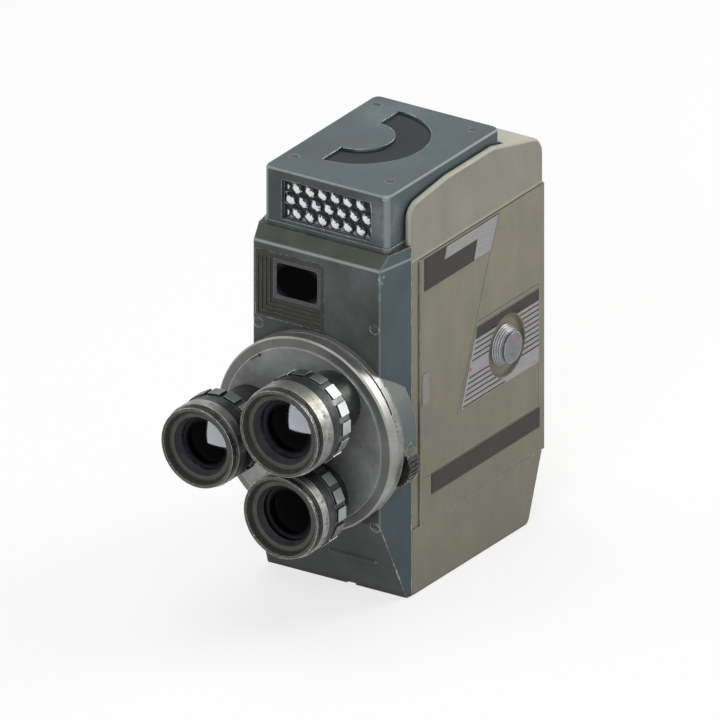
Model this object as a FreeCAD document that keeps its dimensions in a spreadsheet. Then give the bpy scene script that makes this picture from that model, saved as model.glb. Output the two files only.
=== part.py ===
import FreeCAD, Part
import math
import os
import re
import Sketcher

# Turret movie camera, in millimetres.
# X runs to the right seen from the front, the front faces -Y, and Z is up.
# The origin is the mouth of the tripod socket, in the base's underside.
# Depths in this file are measured from the seam between front cover and body.

doc = FreeCAD.newDocument("turret_movie_camera")
sheet = doc.addObject("Spreadsheet::Sheet", "dims")

# Driving sizes: alias, value, what it measures.
SIZES = (
    ("body_width", 59.4, "over the door and the mechanism cover"),
    ("body_depth", 87.1, "from the seam to the back"),
    ("wall", 2.0, "casting wall"),
    ("door_thick", 2.0, "door and mechanism cover plate"),
    ("frame_inset", 0.5, "side frame behind the doors' faces"),
    ("pillar_depth", 5.1, "front pillar beside the door"),
    ("pillar_lip", 1.5, "pillar behind the door's front edge"),
    ("door_gap", 0.15, "seam round the door"),
    ("lip_depth", 1.1, "locating lip inside the door"),
    ("lip_wall", 1.2, "thickness of that lip"),
    ("base_height", 25.1, "lower section"),
    ("base_back_inset", 2.8, "lower section's back behind the body's"),
    ("base_back_slope", 8.9, "how far its back slopes in"),
    ("tripod_setback", 34.0, "tripod socket behind the seam"),
    ("tripod_drill_radius", 2.55, "tapping size of the 1/4-20 thread"),
    ("bush_radius", 6.0, "tripod bush outside"),
    ("bush_height", 8.5, "tripod bush length"),
    ("bush_flange_radius", 8.0, "flange inside the base"),
    ("bush_flange_thick", 1.5, "flange thickness"),
    ("corner_round", 1.6, "rounding of the outer corners"),
    ("front_edge_round", 1.3, "rounding of the edges beside the front seam"),
    ("base_toe_round", 3.0, "rounding of the base's back edge"),
    ("overcut", 1.0, "cutters past the faces that they cut"),
    # Film chamber
    ("film_width", 16.0, "double-8 film"),
    ("frame_offset", 4.0, "film edge to the middle of the frame"),
    ("spool_radius", 25.4, "daylight spool"),
    ("spool_flange", 0.8, "spool flange thickness"),
    ("spool_core_radius", 15.5, "spool core"),
    ("spool_door_gap", 1.6, "spool to door"),
    ("spool_wall_gap", 1.3, "spool to partition"),
    ("spool_rim_gap", 3.035, "between the two spools' rims"),
    ("spool_edge_gap", 0.5, "spool to floor, roof and back"),
    ("spool_front_gap", 2.0, "lower spool to the pillar"),
    ("spindle_radius", 4.0, "spool spindle"),
    ("spindle_collar_radius", 6.0, "collar under a spool"),
    ("shaft_radius", 2.0, "spindle shaft in the partition"),
    ("running_gap", 0.05, "radial clearance of a running fit"),
    ("seat_gap", 0.1, "clearance of a fixed fit"),
    ("face_gap", 0.2, "clearance between moving faces"),
    ("gate_wall_gap", 0.1, "film gate plate to the partition"),
    ("gate_pillar_gap", 0.2, "film gate plate to the pillar"),
    ("gate_height", 31.0, "film gate plate"),
    ("gate_thick", 1.2, "film gate plate"),
    ("frame_opening_width", 4.8, "picture aperture"),
    ("frame_opening_height", 3.5, "picture aperture"),
    ("film_gap", 0.3, "film channel between gate and pressure plate"),
    ("pressure_thick", 1.5, "pressure plate"),
    ("pressure_side_gap", 0.2, "pressure plate inside the gate's sides"),
    ("pressure_inset", 1.5, "pressure plate inside the gate's ends"),
    ("pressure_travel", 2.0, "how far the pressure plate moves back"),
    ("pin_radius", 0.7, "guide pins of the pressure plate"),
    ("pin_inset", 1.1, "guide pins from the partition"),
    ("pin_length", 4.8, "guide pins"),
    ("pin_spread", 19.0, "distance between those pins"),
    ("guide_radius", 1.5, "film guide posts"),
    ("guide_spread", 38.0, "distance between the guide posts"),
    ("guide_length", 17.8, "guide posts"),
    # Front cover
    ("front_depth", 16.2, "seam to the cover's front"),
    ("front_draft", 3.0, "how far each side leans in"),
    ("cover_wall", 2.0, "front cover wall"),
    ("chin_height", 31.8, "where the chin starts to slope back"),
    ("chin_toe", 2.6, "chin in front of the seam at the bottom"),
    ("deck_rise", 7.5, "deck above the body's top"),
    ("brow_drop", 4.7, "front top edge below the deck"),
    ("brow_setback", 11.6, "deck edge in front of the seam"),
    ("cover_round", 0.9, "cover edge rounding"),
    ("ridge_left", 1.0, "pressed ridge in the chin, its left end"),
    ("ridge_width", 18.8, "pressed ridge in the chin"),
    ("ridge_radius", 0.9, "pressed ridge in the chin"),
    ("ridge_height", 14.2, "pressed ridge above the base plane"),
    ("ridge_sink", 0.35, "ridge's axis inside the chin"),
    ("notch_left", 4.1, "notch in the chin's bottom edge, its left end"),
    ("notch_width", 3.8, "notch in the chin's bottom edge"),
    ("notch_height", 1.4, "notch in the chin's bottom edge"),
    # Turret
    ("turret_drop", 0.95, "turret boss below the bezel"),
    ("boss_back", 3.5, "back of the boss in front of the seam"),
    ("boss_draft", 2.8, "boss narrower at its back, in the radius"),
    ("ring_step", 0.2, "turret seat ring inside the boss"),
    ("ring_width", 6.6, "turret seat ring"),
    ("ring_thick", 3.9, "turret seat ring"),
    ("slot_depth", 0.7, "long slot round the seat ring"),
    ("slot_width", 1.1, "long slot round the seat ring"),
    ("slot_setback", 1.28, "slot behind the seat ring's face"),
    ("slot_start", 22.0, "degrees, slot's lower end"),
    ("slot_sweep", 60.0, "degrees, slot's length"),
    ("slot_tail_sweep", 26.0, "degrees, its narrow end"),
    ("slot_tail_width", 0.6, "its narrow end"),
    ("short_slot_start", 121.0, "degrees, short slot's end"),
    ("short_slot_sweep", 11.0, "degrees, short slot's length"),
    ("disc_rim_thick", 4.0, "turret disc rim"),
    ("disc_margin", 0.1, "raised face outside the lens bases"),
    ("disc_step", 3.8, "disc rim outside its raised face"),
    ("disc_face_rise", 0.8, "raised face of the disc"),
    ("disc_chamfer", 0.6, "disc rim chamfer"),
    ("hub_radius", 14.0, "disc hub behind"),
    ("pivot_radius", 3.0, "turret pivot"),
    ("pivot_head_radius", 6.0, "turret pivot head"),
    ("pivot_head_thick", 1.5, "turret pivot head"),
    ("pivot_nut_radius", 5.0, "nut behind the cover"),
    ("pivot_nut_thick", 1.7, "nut behind the cover"),
    ("pivot_slot_width", 1.0, "slot in the pivot's head"),
    ("pivot_slot_depth", 0.6, "slot in the pivot's head"),
    ("hub_gap", 0.3, "disc hub to the cover"),
    ("lens_gap", 3.8, "between the grip rings of the taking and the short lens"),
    ("turret_angle", 52.0, "degrees, the taking lens above +X"),
    ("lens_angle", 120.0, "degrees from lens to lens"),
    ("port_radius", 7.0, "light port in the cover"),
    ("casting_port_radius", 5.0, "light port in the casting"),
    # Lenses
    ("spigot_radius", 7.94, "lens thread, 15.88 across"),
    ("lens_base_radius", 11.3, "lens base barrel"),
    ("sleeve_step", 1.3, "sleeve under the rings, below the rim"),
    ("retainer_rise", 0.5, "shoulder behind the grip ring"),
    ("retainer_length", 0.6, "shoulder behind the grip ring"),
    ("band_step", 0.3, "front band below the lip"),
    ("rim_lip", 0.9, "bright front lip"),
    ("front_band", 2.0, "dark band behind the lip"),
    ("mid_band", 5.2, "fixed band between the rings"),
    ("mid_band_rise", 0.4, "that band above the rim"),
    ("scale_rise", 0.7, "scale ring above the rim"),
    ("grip_length", 6.1, "grip ring"),
    ("grip_rise", 0.1, "grip ring's skin above the rim"),
    ("pad_rise", 0.8, "raised pads above that skin"),
    ("pad_width", 4.8, "raised pads across"),
    ("pad_margin", 0.5, "pads short of the grip ring's ends"),
    ("pad_count", 15, "raised pads"),
    ("mouth_lip", 1.0, "lip width at the lens mouth"),
    ("mouth_depth", 2.0, "first cone in the mouth"),
    ("mouth_taper", 1.2, "how far that cone closes"),
    ("glass_margin", 5.1, "front glass inside the rim"),
    ("glass_depth", 5.0, "front glass behind the lip"),
    ("glass_thick", 3.0, "front glass"),
    ("glass_curve", 30.0, "front glass radius of curvature"),
    ("bore_radius", 6.0, "light bore through the barrel"),
    ("rear_glass_radius", 6.6, "rear glass"),
    ("rear_glass_thick", 2.0, "rear glass"),
    ("normal_rim_radius", 16.3, "taking lens rim"),
    ("normal_reach", 35.9, "taking lens in front of the disc"),
    ("normal_scale_length", 6.6, "taking lens scale ring"),
    ("tele_rim_radius", 15.1, "second lens rim"),
    ("tele_reach", 35.5, "second lens in front of the disc"),
    ("tele_scale_length", 4.5, "second lens scale ring"),
    ("wide_rim_radius", 15.5, "short lens rim"),
    ("wide_reach", 26.8, "short lens in front of the disc"),
    ("wide_scale_length", 3.8, "short lens scale ring"),
    # Thumbwheel
    ("wheel_radius", 8.7, "thumbwheel over its knurl"),
    ("wheel_knurl", 0.5, "knurl height"),
    ("wheel_width", 6.1, "thumbwheel"),
    ("wheel_proud", 3.15, "thumbwheel outside the boss"),
    ("wheel_angle", -15.0, "degrees, thumbwheel round the boss"),
    ("wheel_setback", 4.55, "thumbwheel's middle behind the cover's front"),
    ("wheel_stub_radius", 1.2, "thumbwheel axle"),
    ("wheel_stub_length", 0.8, "thumbwheel axle at each end"),
    ("wheel_room", 0.4, "thumbwheel to its pocket, round it"),
    ("wheel_side_room", 0.2, "thumbwheel to its pocket, each side"),
    ("wheel_pocket_wall", 1.5, "wall round that pocket"),
    ("stub_end_room", 0.2, "axle to the bottom of its bore"),
    ("wheel_count", 32, "knurl ridges"),
    # Start release
    ("release_left", 25.3, "release's left side from the middle"),
    ("release_width", 5.6, "release"),
    ("release_bottom", 10.4, "release above the base plane"),
    ("release_height", 12.0, "release"),
    ("release_flange", 1.2, "release flange round it"),
    ("release_flange_thick", 1.0, "release flange"),
    ("release_front", 13.0, "release's face in front of the seam"),
    ("release_back", 2.7, "flange's back in front of the seam"),
    ("release_room", 0.3, "release in its hole"),
    # Viewfinder
    ("bezel_left", 25.4, "bezel's left side from the middle"),
    ("bezel_right", 2.8, "bezel's right side from the middle"),
    ("bezel_top_drop", 8.0, "bezel's top below the deck"),
    ("bezel_height", 25.1, "bezel"),
    ("bezel_proud", 0.3, "bezel in front of the cover"),
    ("bezel_thick", 2.5, "bezel"),
    ("step_edge", 0.9, "bezel edge outside its steps"),
    ("step_pitch", 1.5, "nested steps"),
    ("step_depth", 0.35, "each step"),
    ("step_count", 4, "nested steps"),
    ("window_width", 17.2, "viewfinder window"),
    ("window_height", 12.6, "viewfinder window"),
    ("window_top_drop", 3.5, "window's top below the bezel's top"),
    ("window_frame", 1.7, "flat frame round the window"),
    ("window_round", 2.0, "window corner"),
    ("window_lap", 0.7, "glass outside the window"),
    ("tube_gap", 0.2, "tube's inside outside the window"),
    ("window_thick", 1.0, "viewfinder window glass"),
    ("tube_wall", 0.8, "viewfinder tube"),
    ("eyepiece_radius", 8.5, "rear eyepiece"),
    ("eyepiece_reach", 4.5, "rear eyepiece behind the body"),
    ("eye_spigot_radius", 5.6, "eyepiece in the back wall"),
    ("eye_bore_radius", 4.2, "eyepiece opening"),
    ("eye_lens_radius", 6.0, "eyepiece lens"),
    ("eye_lens_thick", 2.0, "eyepiece lens"),
    ("eye_cup_depth", 1.5, "eyecup outside its lens"),
    # Top case
    ("hump_front_rise", 22.3, "front top corner above the body"),
    ("hump_peak_rise", 25.2, "peak above the body"),
    ("hump_rear_rise", 17.4, "back top corner above the body"),
    ("hump_peak_start", 25.0, "peak starts behind the seam"),
    ("hump_peak_end", 55.0, "peak ends behind the seam"),
    ("hump_front_round", 6.0, "front top corner"),
    ("hump_rear_round", 8.0, "back top corner"),
    ("hump_side_round", 1.5, "side top edges"),
    ("hump_side_inset", 0.8, "top case inside the doors' faces"),
    ("hump_back_inset", 0.2, "top case inside the body's back"),
    ("case_wall", 1.8, "top case wall"),
    ("loft_roof", 2.7, "top case roof behind the housing"),
    # Light meter
    ("meter_width", 52.8, "meter housing"),
    ("meter_front", 10.3, "housing in front of the seam"),
    ("meter_back", 63.1, "housing behind the seam"),
    ("meter_height", 21.9, "housing above the deck"),
    ("meter_wall", 2.2, "housing wall"),
    ("meter_corner_round", 3.2, "housing upright corners"),
    ("meter_top_round", 1.2, "housing top edge"),
    ("bead_height", 1.8, "bead round the bottom"),
    ("bead_proud", 0.5, "bead outside the housing"),
    ("channel_gap", 0.15, "bead in the top case"),
    ("cell_left", 18.5, "cell window's left side from the middle"),
    ("cell_right", 19.2, "cell window's right side from the middle"),
    ("cell_bottom", 3.05, "cell window above the deck"),
    ("cell_top", 18.15, "cell window's top above the deck"),
    ("comb_thick", 1.2, "honeycomb plate"),
    ("comb_lap", 0.9, "honeycomb plate outside its window"),
    ("lenslet_radius", 3.0, "honeycomb lenslet sphere"),
    ("lenslet_rise", 1.5, "lenslets in front of their plate"),
    ("lenslet_pitch", 5.35, "lenslet columns"),
    ("lenslet_row", 4.9, "lenslet rows"),
    ("cell_thick", 1.0, "meter cell"),
    ("dial_x", -11.5, "needle axis from the middle"),
    ("dial_y", 30.2, "needle axis behind the seam"),
    ("arc_outer_radius", 25.1, "half-ring window"),
    ("arc_inner_radius", 12.4, "half-ring window"),
    ("arc_ledge", 0.7, "ledge under the window"),
    ("arc_sink", 0.9, "window below the top face"),
    ("arc_thick", 0.5, "half-ring window glass"),
    ("movement_radius", 9.0, "meter movement"),
    ("movement_height", 15.6, "meter movement"),
    ("dial_thick", 0.6, "dial plate"),
    ("dial_half_width", 25.4, "dial plate, half of its depth"),
    ("dial_right", 26.5, "dial plate to the right of its axis"),
    ("dial_left", 6.0, "dial plate to the left of its axis"),
    ("needle_pin_radius", 0.6, "needle pivot"),
    ("needle_hub_radius", 1.6, "needle hub"),
    ("needle_hub_height", 0.9, "needle hub"),
    ("needle_length", 23.0, "needle"),
    ("needle_width", 0.6, "needle"),
    ("needle_thick", 0.4, "needle"),
    # Door furniture
    ("plate_proud", 0.25, "plates on the door"),
    ("name_front", 8.3, "nameplate's front edge"),
    ("name_back_top", 56.5, "nameplate's back edge, top"),
    ("name_back_bottom", 51.2, "nameplate's back edge, bottom"),
    ("name_top_drop", 0.6, "nameplate below the door's top"),
    ("name_height", 12.3, "nameplate"),
    ("stripe_below", 13.9, "striped plate's bottom below the lock knob"),
    ("stripe_above", 14.3, "striped plate's top above the lock knob"),
    ("stripe_front_bottom", 31.6, "striped plate's front, bottom"),
    ("stripe_front_top", 42.1, "striped plate's front, top"),
    ("stripe_back_inset", 5.1, "striped plate's back edge inside the body's back"),
    ("lower_rise", 9.6, "lower plate above the lower section"),
    ("lower_height", 7.4, "lower plate"),
    ("lower_front", 12.8, "lower plate's front edge"),
    ("lower_back_inset", 4.5, "lower plate's back edge inside the body's back"),
    ("label_front", 6.7, "edge label"),
    ("label_width", 4.1, "edge label"),
    ("label_bottom", 71.0, "edge label above the base plane"),
    ("label_height", 11.9, "edge label"),
    ("lock_setback", 25.8, "lock knob inside the body's back"),
    ("lock_height", 74.0, "lock knob above the base plane"),
    ("recess_radius", 11.7, "round recess in the door"),
    ("recess_depth", 1.2, "round recess in the door"),
    ("knob_radius", 7.8, "lock knob at its foot"),
    ("knob_step", 0.42, "each ridge's step in"),
    ("knob_ridge", 0.75, "each ridge's height"),
    ("knob_ridges", 4, "ridges"),
    ("knob_face_radius", 5.8, "lock knob face"),
    ("knob_face_height", 1.0, "lock knob face"),
    ("knob_shaft_radius", 2.5, "lock knob shaft"),
    ("cam_radius", 4.2, "lock cam's reach"),
    ("cam_width", 4.0, "lock cam"),
    ("cam_thick", 0.6, "lock cam"),
    # Mechanism
    ("plate_setback", 15.2, "mechanism plate from the partition"),
    ("plate_thick", 1.5, "mechanism plate"),
    ("post_radius", 2.5, "mechanism plate pillars"),
    ("plate_front", 5.0, "mechanism plate behind the seam"),
    ("plate_bottom", 35.0, "mechanism plate above the base plane"),
    ("plate_top_gap", 3.05, "mechanism plate below the viewfinder tube"),
    ("plate_back_gap", 5.5, "mechanism plate to the body's back"),
    ("post_inset", 3.5, "pillars inside the plate's edge"),
    ("gear_module", 0.8, "gear module"),
    ("gear_width", 3.0, "gear face"),
    ("gear_clearance", 10.2, "gears' outer face from the partition"),
    ("drive_teeth", 50, "drive gear"),
    ("takeup_teeth", 16, "take-up pinion"),
    ("idler_teeth", 24, "idler gear"),
    ("idler_setback", 14.0, "idler behind the seam"),
    ("idler_shaft_radius", 1.5, "idler shaft"),
    ("crown_module", 0.6, "crown gear module"),
    ("crown_teeth", 24, "crown gear"),
    ("crown_width", 1.3, "crown teeth along the radius"),
    ("pinion_teeth", 12, "shutter pinion"),
    ("shutter_radius", 18.5, "shutter disc"),
    ("shutter_thick", 0.6, "shutter disc"),
    ("shutter_front", 5.0, "shutter disc in front of the seam"),
    ("shutter_shaft_radius", 1.2, "shutter shaft"),
    ("shutter_hub_radius", 3.0, "shutter hub"),
    ("shutter_open", 150.0, "degrees, shutter opening"),
    ("shutter_start", -90.0, "degrees, first edge of the shutter blade"),
    ("drum_radius", 18.0, "spring barrel"),
    ("drum_clearance", 1.7, "spring barrel to the mechanism cover"),
    ("drum_plate_gap", 1.0, "spring barrel to the plate"),
    ("arbor_radius", 3.0, "spring barrel arbor"),
    ("arbor_seat", 1.5, "arbor in the partition"),
    ("key_hub_radius", 8.0, "winding key hub"),
    ("key_hub_thick", 2.3, "winding key hub"),
    ("key_shaft_radius", 2.5, "winding key shaft"),
    ("key_shaft_reach", 5.0, "winding key shaft in the barrel"),
    ("ear_half_span", 3.8, "key ears from the middle"),
    ("ear_thick", 1.4, "key ears"),
    ("ear_height", 2.5, "key ears"),
    ("handle_thick", 1.7, "folding handle"),
    ("handle_length", 18.0, "folding handle to its eye"),
    ("handle_eye_radius", 6.0, "finger eye"),
    ("handle_hole_radius", 3.2, "finger eye's hole"),
    ("hinge_pin_radius", 0.6, "folding handle pin"),
    ("hinge_knuckle_radius", 1.15, "folding handle knuckle"),
    ("footage_setback", 19.1, "footage dial inside the body's back"),
    ("footage_drop", 7.0, "footage dial below the mechanism plate's top"),
    ("footage_clearance", 0.5, "footage dial to the mechanism cover"),
    ("footage_radius", 10.0, "footage dial"),
    ("footage_thick", 0.8, "footage dial"),
    ("footage_shaft_radius", 1.5, "footage dial shaft"),
    ("footage_window_rise", 6.0, "window above the dial's axis"),
    ("footage_window_radius", 3.5, "footage window"),
    ("footage_ledge", 0.6, "ledge under that window"),
    ("footage_window_thick", 1.0, "footage window glass"),
    ("speed_y", 16.0, "speed dial behind the seam"),
    ("speed_height", 103.0, "speed dial above the base plane"),
    ("speed_radius", 7.0, "speed dial"),
    ("speed_thick", 3.2, "speed dial"),
    ("speed_knurl", 0.4, "speed dial knurl"),
    ("speed_count", 24, "speed dial knurl ridges"),
    ("speed_shaft_radius", 2.0, "speed dial shaft"),
    ("speed_shaft_reach", 2.5, "speed dial shaft inside the cover"),
    ("speed_collar_radius", 3.0, "speed dial collar inside the cover"),
    # Screws
    ("screw_head_radius", 1.7, "screw head"),
    ("screw_head_thick", 0.6, "screw head"),
    ("screw_radius", 1.0, "screw shank"),
    ("screw_slot_width", 0.45, "screw slot"),
    ("screw_slot_depth", 0.3, "screw slot"),
    ("screw_post_radius", 2.4, "post round a screw"),
    ("screw_grip", 1.5, "screw in the piece behind"),
    ("screw_bottom_gap", 0.2, "screw to the bottom of its hole"),
    ("low_screw_sink", 0.9, "lower front screws below the surface"),
    ("cover_screw_inset", 5.3, "front screws inside the body's side"),
    ("cover_screw_rise", 5.9, "lower front screws above the lower section"),
    ("cover_screw_drop_right", 27.35, "upper right front screw below the deck"),
    ("cover_screw_drop_left", 36.35, "upper left front screw below the deck"),
    ("top_screw_left", 21.1, "left housing screws from the middle"),
    ("top_screw_right", 19.2, "right housing screws from the middle"),
    ("top_screw_front", 2.1, "front housing screws behind the seam"),
    ("top_screw_back", 55.7, "back housing screws behind the seam"),
    ("side_screw_inset", 4.0, "side screws inside the casting's walls"),
    ("corner_block", 7.0, "casting's corner blocks"),
    ("corner_block_depth", 8.0, "casting's corner blocks"),
)

# Tooth proportions in modules: half widths at foot and tip, and the rise above the pitch line.
TOOTH_FOOT = 0.95
TOOTH_POINT = 0.38
TOOTH_RISE = 0.8
PINION_FOOT = 0.75
PINION_POINT = 0.35
PINION_RISE = 0.6
CROWN_HALF = 0.5
CROWN_RISE = 0.8
CROWN_HEIGHT = 1.4

# Columns in each row of the honeycomb, from the bottom.
LENSLET_ROWS = (6, 7, 6)

# Places and sizes that follow from those above.
DERIVED = (
    ("seam_y", "-tripod_setback"),
    ("half_width", "body_width / 2"),
    ("frame_half", "half_width - frame_inset"),
    ("inner_face", "half_width - door_thick"),
    ("back_wall", "body_depth - wall"),
    ("floor_top", "base_height + wall"),
    ("spool_back_x", "inner_face - spool_door_gap"),
    ("gate_x", "spool_back_x - spool_flange - film_width + frame_offset"),
    ("spool_front_x", "spool_back_x - film_width - 2 * spool_flange"),
    ("chamber_x", "spool_front_x - spool_wall_gap"),
    ("mechanism_x", "chamber_x - wall"),
    ("film_mid", "spool_front_x + spool_flange + film_width / 2"),
    ("gate_left", "chamber_x + gate_wall_gap"),
    ("gate_right", "inner_face - pillar_lip - gate_pillar_gap"),
    ("gate_back", "wall + gate_thick"),
    ("pressure_front", "gate_back + film_gap"),
    ("guide_setback", "pressure_front + guide_radius"),
    ("pin_x", "chamber_x + pin_inset"),
    ("takeup_y", "pillar_depth + spool_front_gap + spool_radius"),
    ("takeup_z", "floor_top + spool_edge_gap + spool_radius"),
    ("supply_y", "back_wall - spool_edge_gap - spool_radius"),
    ("spool_step", "2 * spool_radius + spool_rim_gap"),
    ("supply_z", "takeup_z + sqrt(spool_step ^ 2 - (supply_y - takeup_y) ^ 2)"),
    ("case_height", "supply_z + spool_radius + spool_edge_gap + wall"),
    ("roof_under", "case_height - wall"),
    ("deck_height", "case_height + deck_rise"),
    ("brow_height", "deck_height - brow_drop"),
    ("bezel_top", "deck_height - bezel_top_drop"),
    ("bezel_bottom", "bezel_top - bezel_height"),
    ("pads_apart", "normal_rim_radius + wide_rim_radius + 2 * (grip_rise + pad_rise) + lens_gap"),
    ("lens_circle", "pads_apart / (2 * sin(lens_angle / 2))"),
    ("disc_face_radius", "lens_circle + lens_base_radius + disc_margin"),
    ("disc_radius", "disc_face_radius + disc_step"),
    ("ring_radius", "disc_radius - ring_step"),
    ("ring_inner_radius", "ring_radius - ring_width"),
    ("turret_height", "bezel_bottom - turret_drop - disc_radius"),
    ("turret_x", "gate_x - lens_circle * cos(turret_angle)"),
    ("gate_z", "turret_height + lens_circle * sin(turret_angle)"),
    ("cover_screw_low", "base_height + cover_screw_rise"),
    ("cover_screw_high_right", "deck_height - cover_screw_drop_right"),
    ("cover_screw_high_left", "deck_height - cover_screw_drop_left"),
    ("front_half", "half_width - front_draft"),
    ("chin_lean", "(front_depth - chin_toe) / chin_height"),
    ("chin_shift", "cover_wall * sqrt(1 + chin_lean ^ 2)"),
    ("brow_lean", "brow_drop / (front_depth - brow_setback)"),
    ("brow_shift", "cover_wall * sqrt(1 + brow_lean ^ 2)"),
    ("side_lean", "front_draft / front_depth"),
    ("side_shift", "cover_wall * sqrt(1 + side_lean ^ 2)"),
    ("chin_in_y", "-chin_toe - chin_lean * wall + chin_shift"),
    ("chin_in_z", "(front_depth - cover_wall + chin_shift - chin_toe) / chin_lean"),
    ("brow_in_z", "brow_height + brow_lean * cover_wall - brow_shift"),
    ("brow_in_y", "(deck_height - cover_wall - brow_height + brow_shift) / brow_lean - front_depth"),
    ("side_in_back", "half_width - side_shift + side_lean * overcut"),
    ("side_in_front", "half_width - side_shift - side_lean * (front_depth - cover_wall)"),
    ("ridge_y", "-chin_toe - chin_lean * ridge_height + ridge_sink"),
    ("ring_front", "front_depth + ring_thick"),
    ("disc_back", "ring_front + face_gap"),
    ("disc_rim_front", "disc_back + disc_rim_thick"),
    ("disc_front", "disc_rim_front + disc_face_rise"),
    ("wheel_arm", "disc_radius + wheel_proud - wheel_radius"),
    ("wheel_x", "turret_x + wheel_arm * cos(wheel_angle)"),
    ("wheel_z", "turret_height + wheel_arm * sin(wheel_angle)"),
    ("wheel_mid", "front_depth - wheel_setback"),
    ("wheel_half", "wheel_width / 2"),
    ("pocket_radius", "wheel_radius + wheel_room"),
    ("pocket_half", "wheel_half + wheel_side_room"),
    ("bore_half", "wheel_half + wheel_stub_length + stub_end_room"),
    ("bezel_front", "front_depth + bezel_proud"),
    ("bezel_back", "bezel_front - bezel_thick"),
    ("window_top", "bezel_top - window_top_drop"),
    ("window_bottom", "window_top - window_height"),
    ("eye_x", "-window_width / 2"),
    ("tube_lap", "tube_gap + tube_wall"),
    ("eye_z", "(window_top + window_bottom) / 2"),
    ("meter_top", "deck_height + meter_height"),
    ("meter_half", "meter_width / 2"),
    ("channel_half", "meter_half + bead_proud + channel_gap"),
    ("channel_back", "meter_back + bead_proud + channel_gap"),
    ("comb_front", "meter_front - meter_wall"),
    ("comb_back", "comb_front - comb_thick"),
    ("cell_mid_x", "(cell_right - cell_left) / 2"),
    ("cell_mid_z", "deck_height + (cell_top + cell_bottom) / 2"),
    ("hump_half", "half_width - hump_side_inset"),
    ("hump_back", "body_depth - hump_back_inset"),
    ("hump_slope", "(hump_peak_rise - hump_rear_rise) / (hump_back - hump_peak_end)"),
    ("loft_front", "channel_back + case_wall"),
    ("loft_back", "hump_back - case_wall"),
    ("loft_drop", "hump_slope * (loft_front - hump_peak_end)"),
    ("loft_top", "case_height + hump_peak_rise - loft_drop - loft_roof"),
    ("arc_under", "meter_top - arc_sink - arc_thick"),
    ("movement_top", "deck_height + movement_height"),
    ("dial_top", "movement_top + dial_thick"),
    ("hub_bottom", "dial_top + face_gap"),
    ("hub_top", "hub_bottom + needle_hub_height"),
    ("lock_y", "body_depth - lock_setback"),
    ("stripe_bottom", "lock_height - stripe_below"),
    ("stripe_top", "lock_height + stripe_above"),
    ("stripe_back", "body_depth - stripe_back_inset"),
    ("lower_back", "body_depth - lower_back_inset"),
    ("lower_bottom", "base_height + lower_rise"),
    ("recess_floor", "half_width - recess_depth"),
    ("knob_foot", "recess_floor + face_gap"),
    ("knob_shoulder", "knob_foot + knob_ridges * knob_ridge"),
    ("plate_inner", "mechanism_x - plate_setback + plate_thick"),
    ("plate_outer", "mechanism_x - plate_setback"),
    ("plate_back", "body_depth - plate_back_gap"),
    ("plate_top", "window_bottom - tube_lap - plate_top_gap"),
    ("gear_outer", "mechanism_x - gear_clearance - gear_width"),
    ("gear_inner", "mechanism_x - gear_clearance"),
    ("drive_pitch", "gear_module * drive_teeth / 2"),
    ("takeup_pitch", "gear_module * takeup_teeth / 2"),
    ("idler_pitch", "gear_module * idler_teeth / 2"),
    ("crown_pitch", "crown_module * crown_teeth / 2"),
    ("pinion_pitch", "crown_module * pinion_teeth / 2"),
    ("takeup_reach", "drive_pitch + takeup_pitch"),
    ("idler_reach", "drive_pitch + idler_pitch"),
    ("axes_y", "idler_setback - takeup_y"),
    ("axes_z", "gate_z - takeup_z"),
    ("axes_apart", "sqrt(axes_y ^ 2 + axes_z ^ 2)"),
    ("along", "(takeup_reach ^ 2 - idler_reach ^ 2 + axes_apart ^ 2) / (2 * axes_apart)"),
    ("across", "sqrt(takeup_reach ^ 2 - along ^ 2)"),
    ("drive_y", "takeup_y + (along * axes_y + across * axes_z) / axes_apart"),
    ("drive_z", "takeup_z + (along * axes_z - across * axes_y) / axes_apart"),
    ("crown_plane", f"gear_inner + crown_module * {CROWN_RISE}"),
    ("shutter_x", "crown_plane + pinion_pitch"),
    ("pinion_mid", "idler_setback - crown_pitch"),
    ("drum_outer", "-inner_face + drum_clearance"),
    ("drum_inner", "plate_outer - drum_plate_gap"),
    ("key_back", "-half_width - face_gap"),
    ("key_front", "key_back - key_hub_thick"),
    ("hinge_x", "key_front - hinge_knuckle_radius - running_gap"),
    ("screw_hole", "screw_radius + running_gap"),
    ("screw_seat", "screw_head_radius + seat_gap"),
    ("footage_y", "body_depth - footage_setback"),
    ("footage_height", "plate_top - footage_drop"),
    ("footage_face", "-inner_face + footage_clearance"),
)

LENSES = ("normal", "tele", "wide")
LENS_DERIVED = []
for place, lens in enumerate(LENSES):
    angle = f"(turret_angle + {place} * lens_angle)"
    LENS_DERIVED += [
        (f"{lens}_x", f"turret_x + lens_circle * cos{angle}"),
        (f"{lens}_z", f"turret_height + lens_circle * sin{angle}"),
        (f"{lens}_front", f"disc_front + {lens}_reach"),
        (f"{lens}_scale_front", f"{lens}_front - rim_lip - front_band"),
        (f"{lens}_scale_back", f"{lens}_scale_front - {lens}_scale_length"),
        (f"{lens}_grip_front", f"{lens}_scale_back - mid_band"),
        (f"{lens}_grip_back", f"{lens}_grip_front - grip_length"),
        (f"{lens}_sleeve_radius", f"{lens}_rim_radius - sleeve_step"),
    ]

NAMES = {row[0] for row in SIZES} | {row[0] for row in DERIVED} | {row[0] for row in LENS_DERIVED}


def linked(text):
    """Turn the words of a size formula into links to the sheet's cells."""
    return re.sub(r"[a-z][a-z_0-9]*", lambda found: link(found.group(0)), text)


def link(word):
    return f"dims.{word}" if word in NAMES else word


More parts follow.
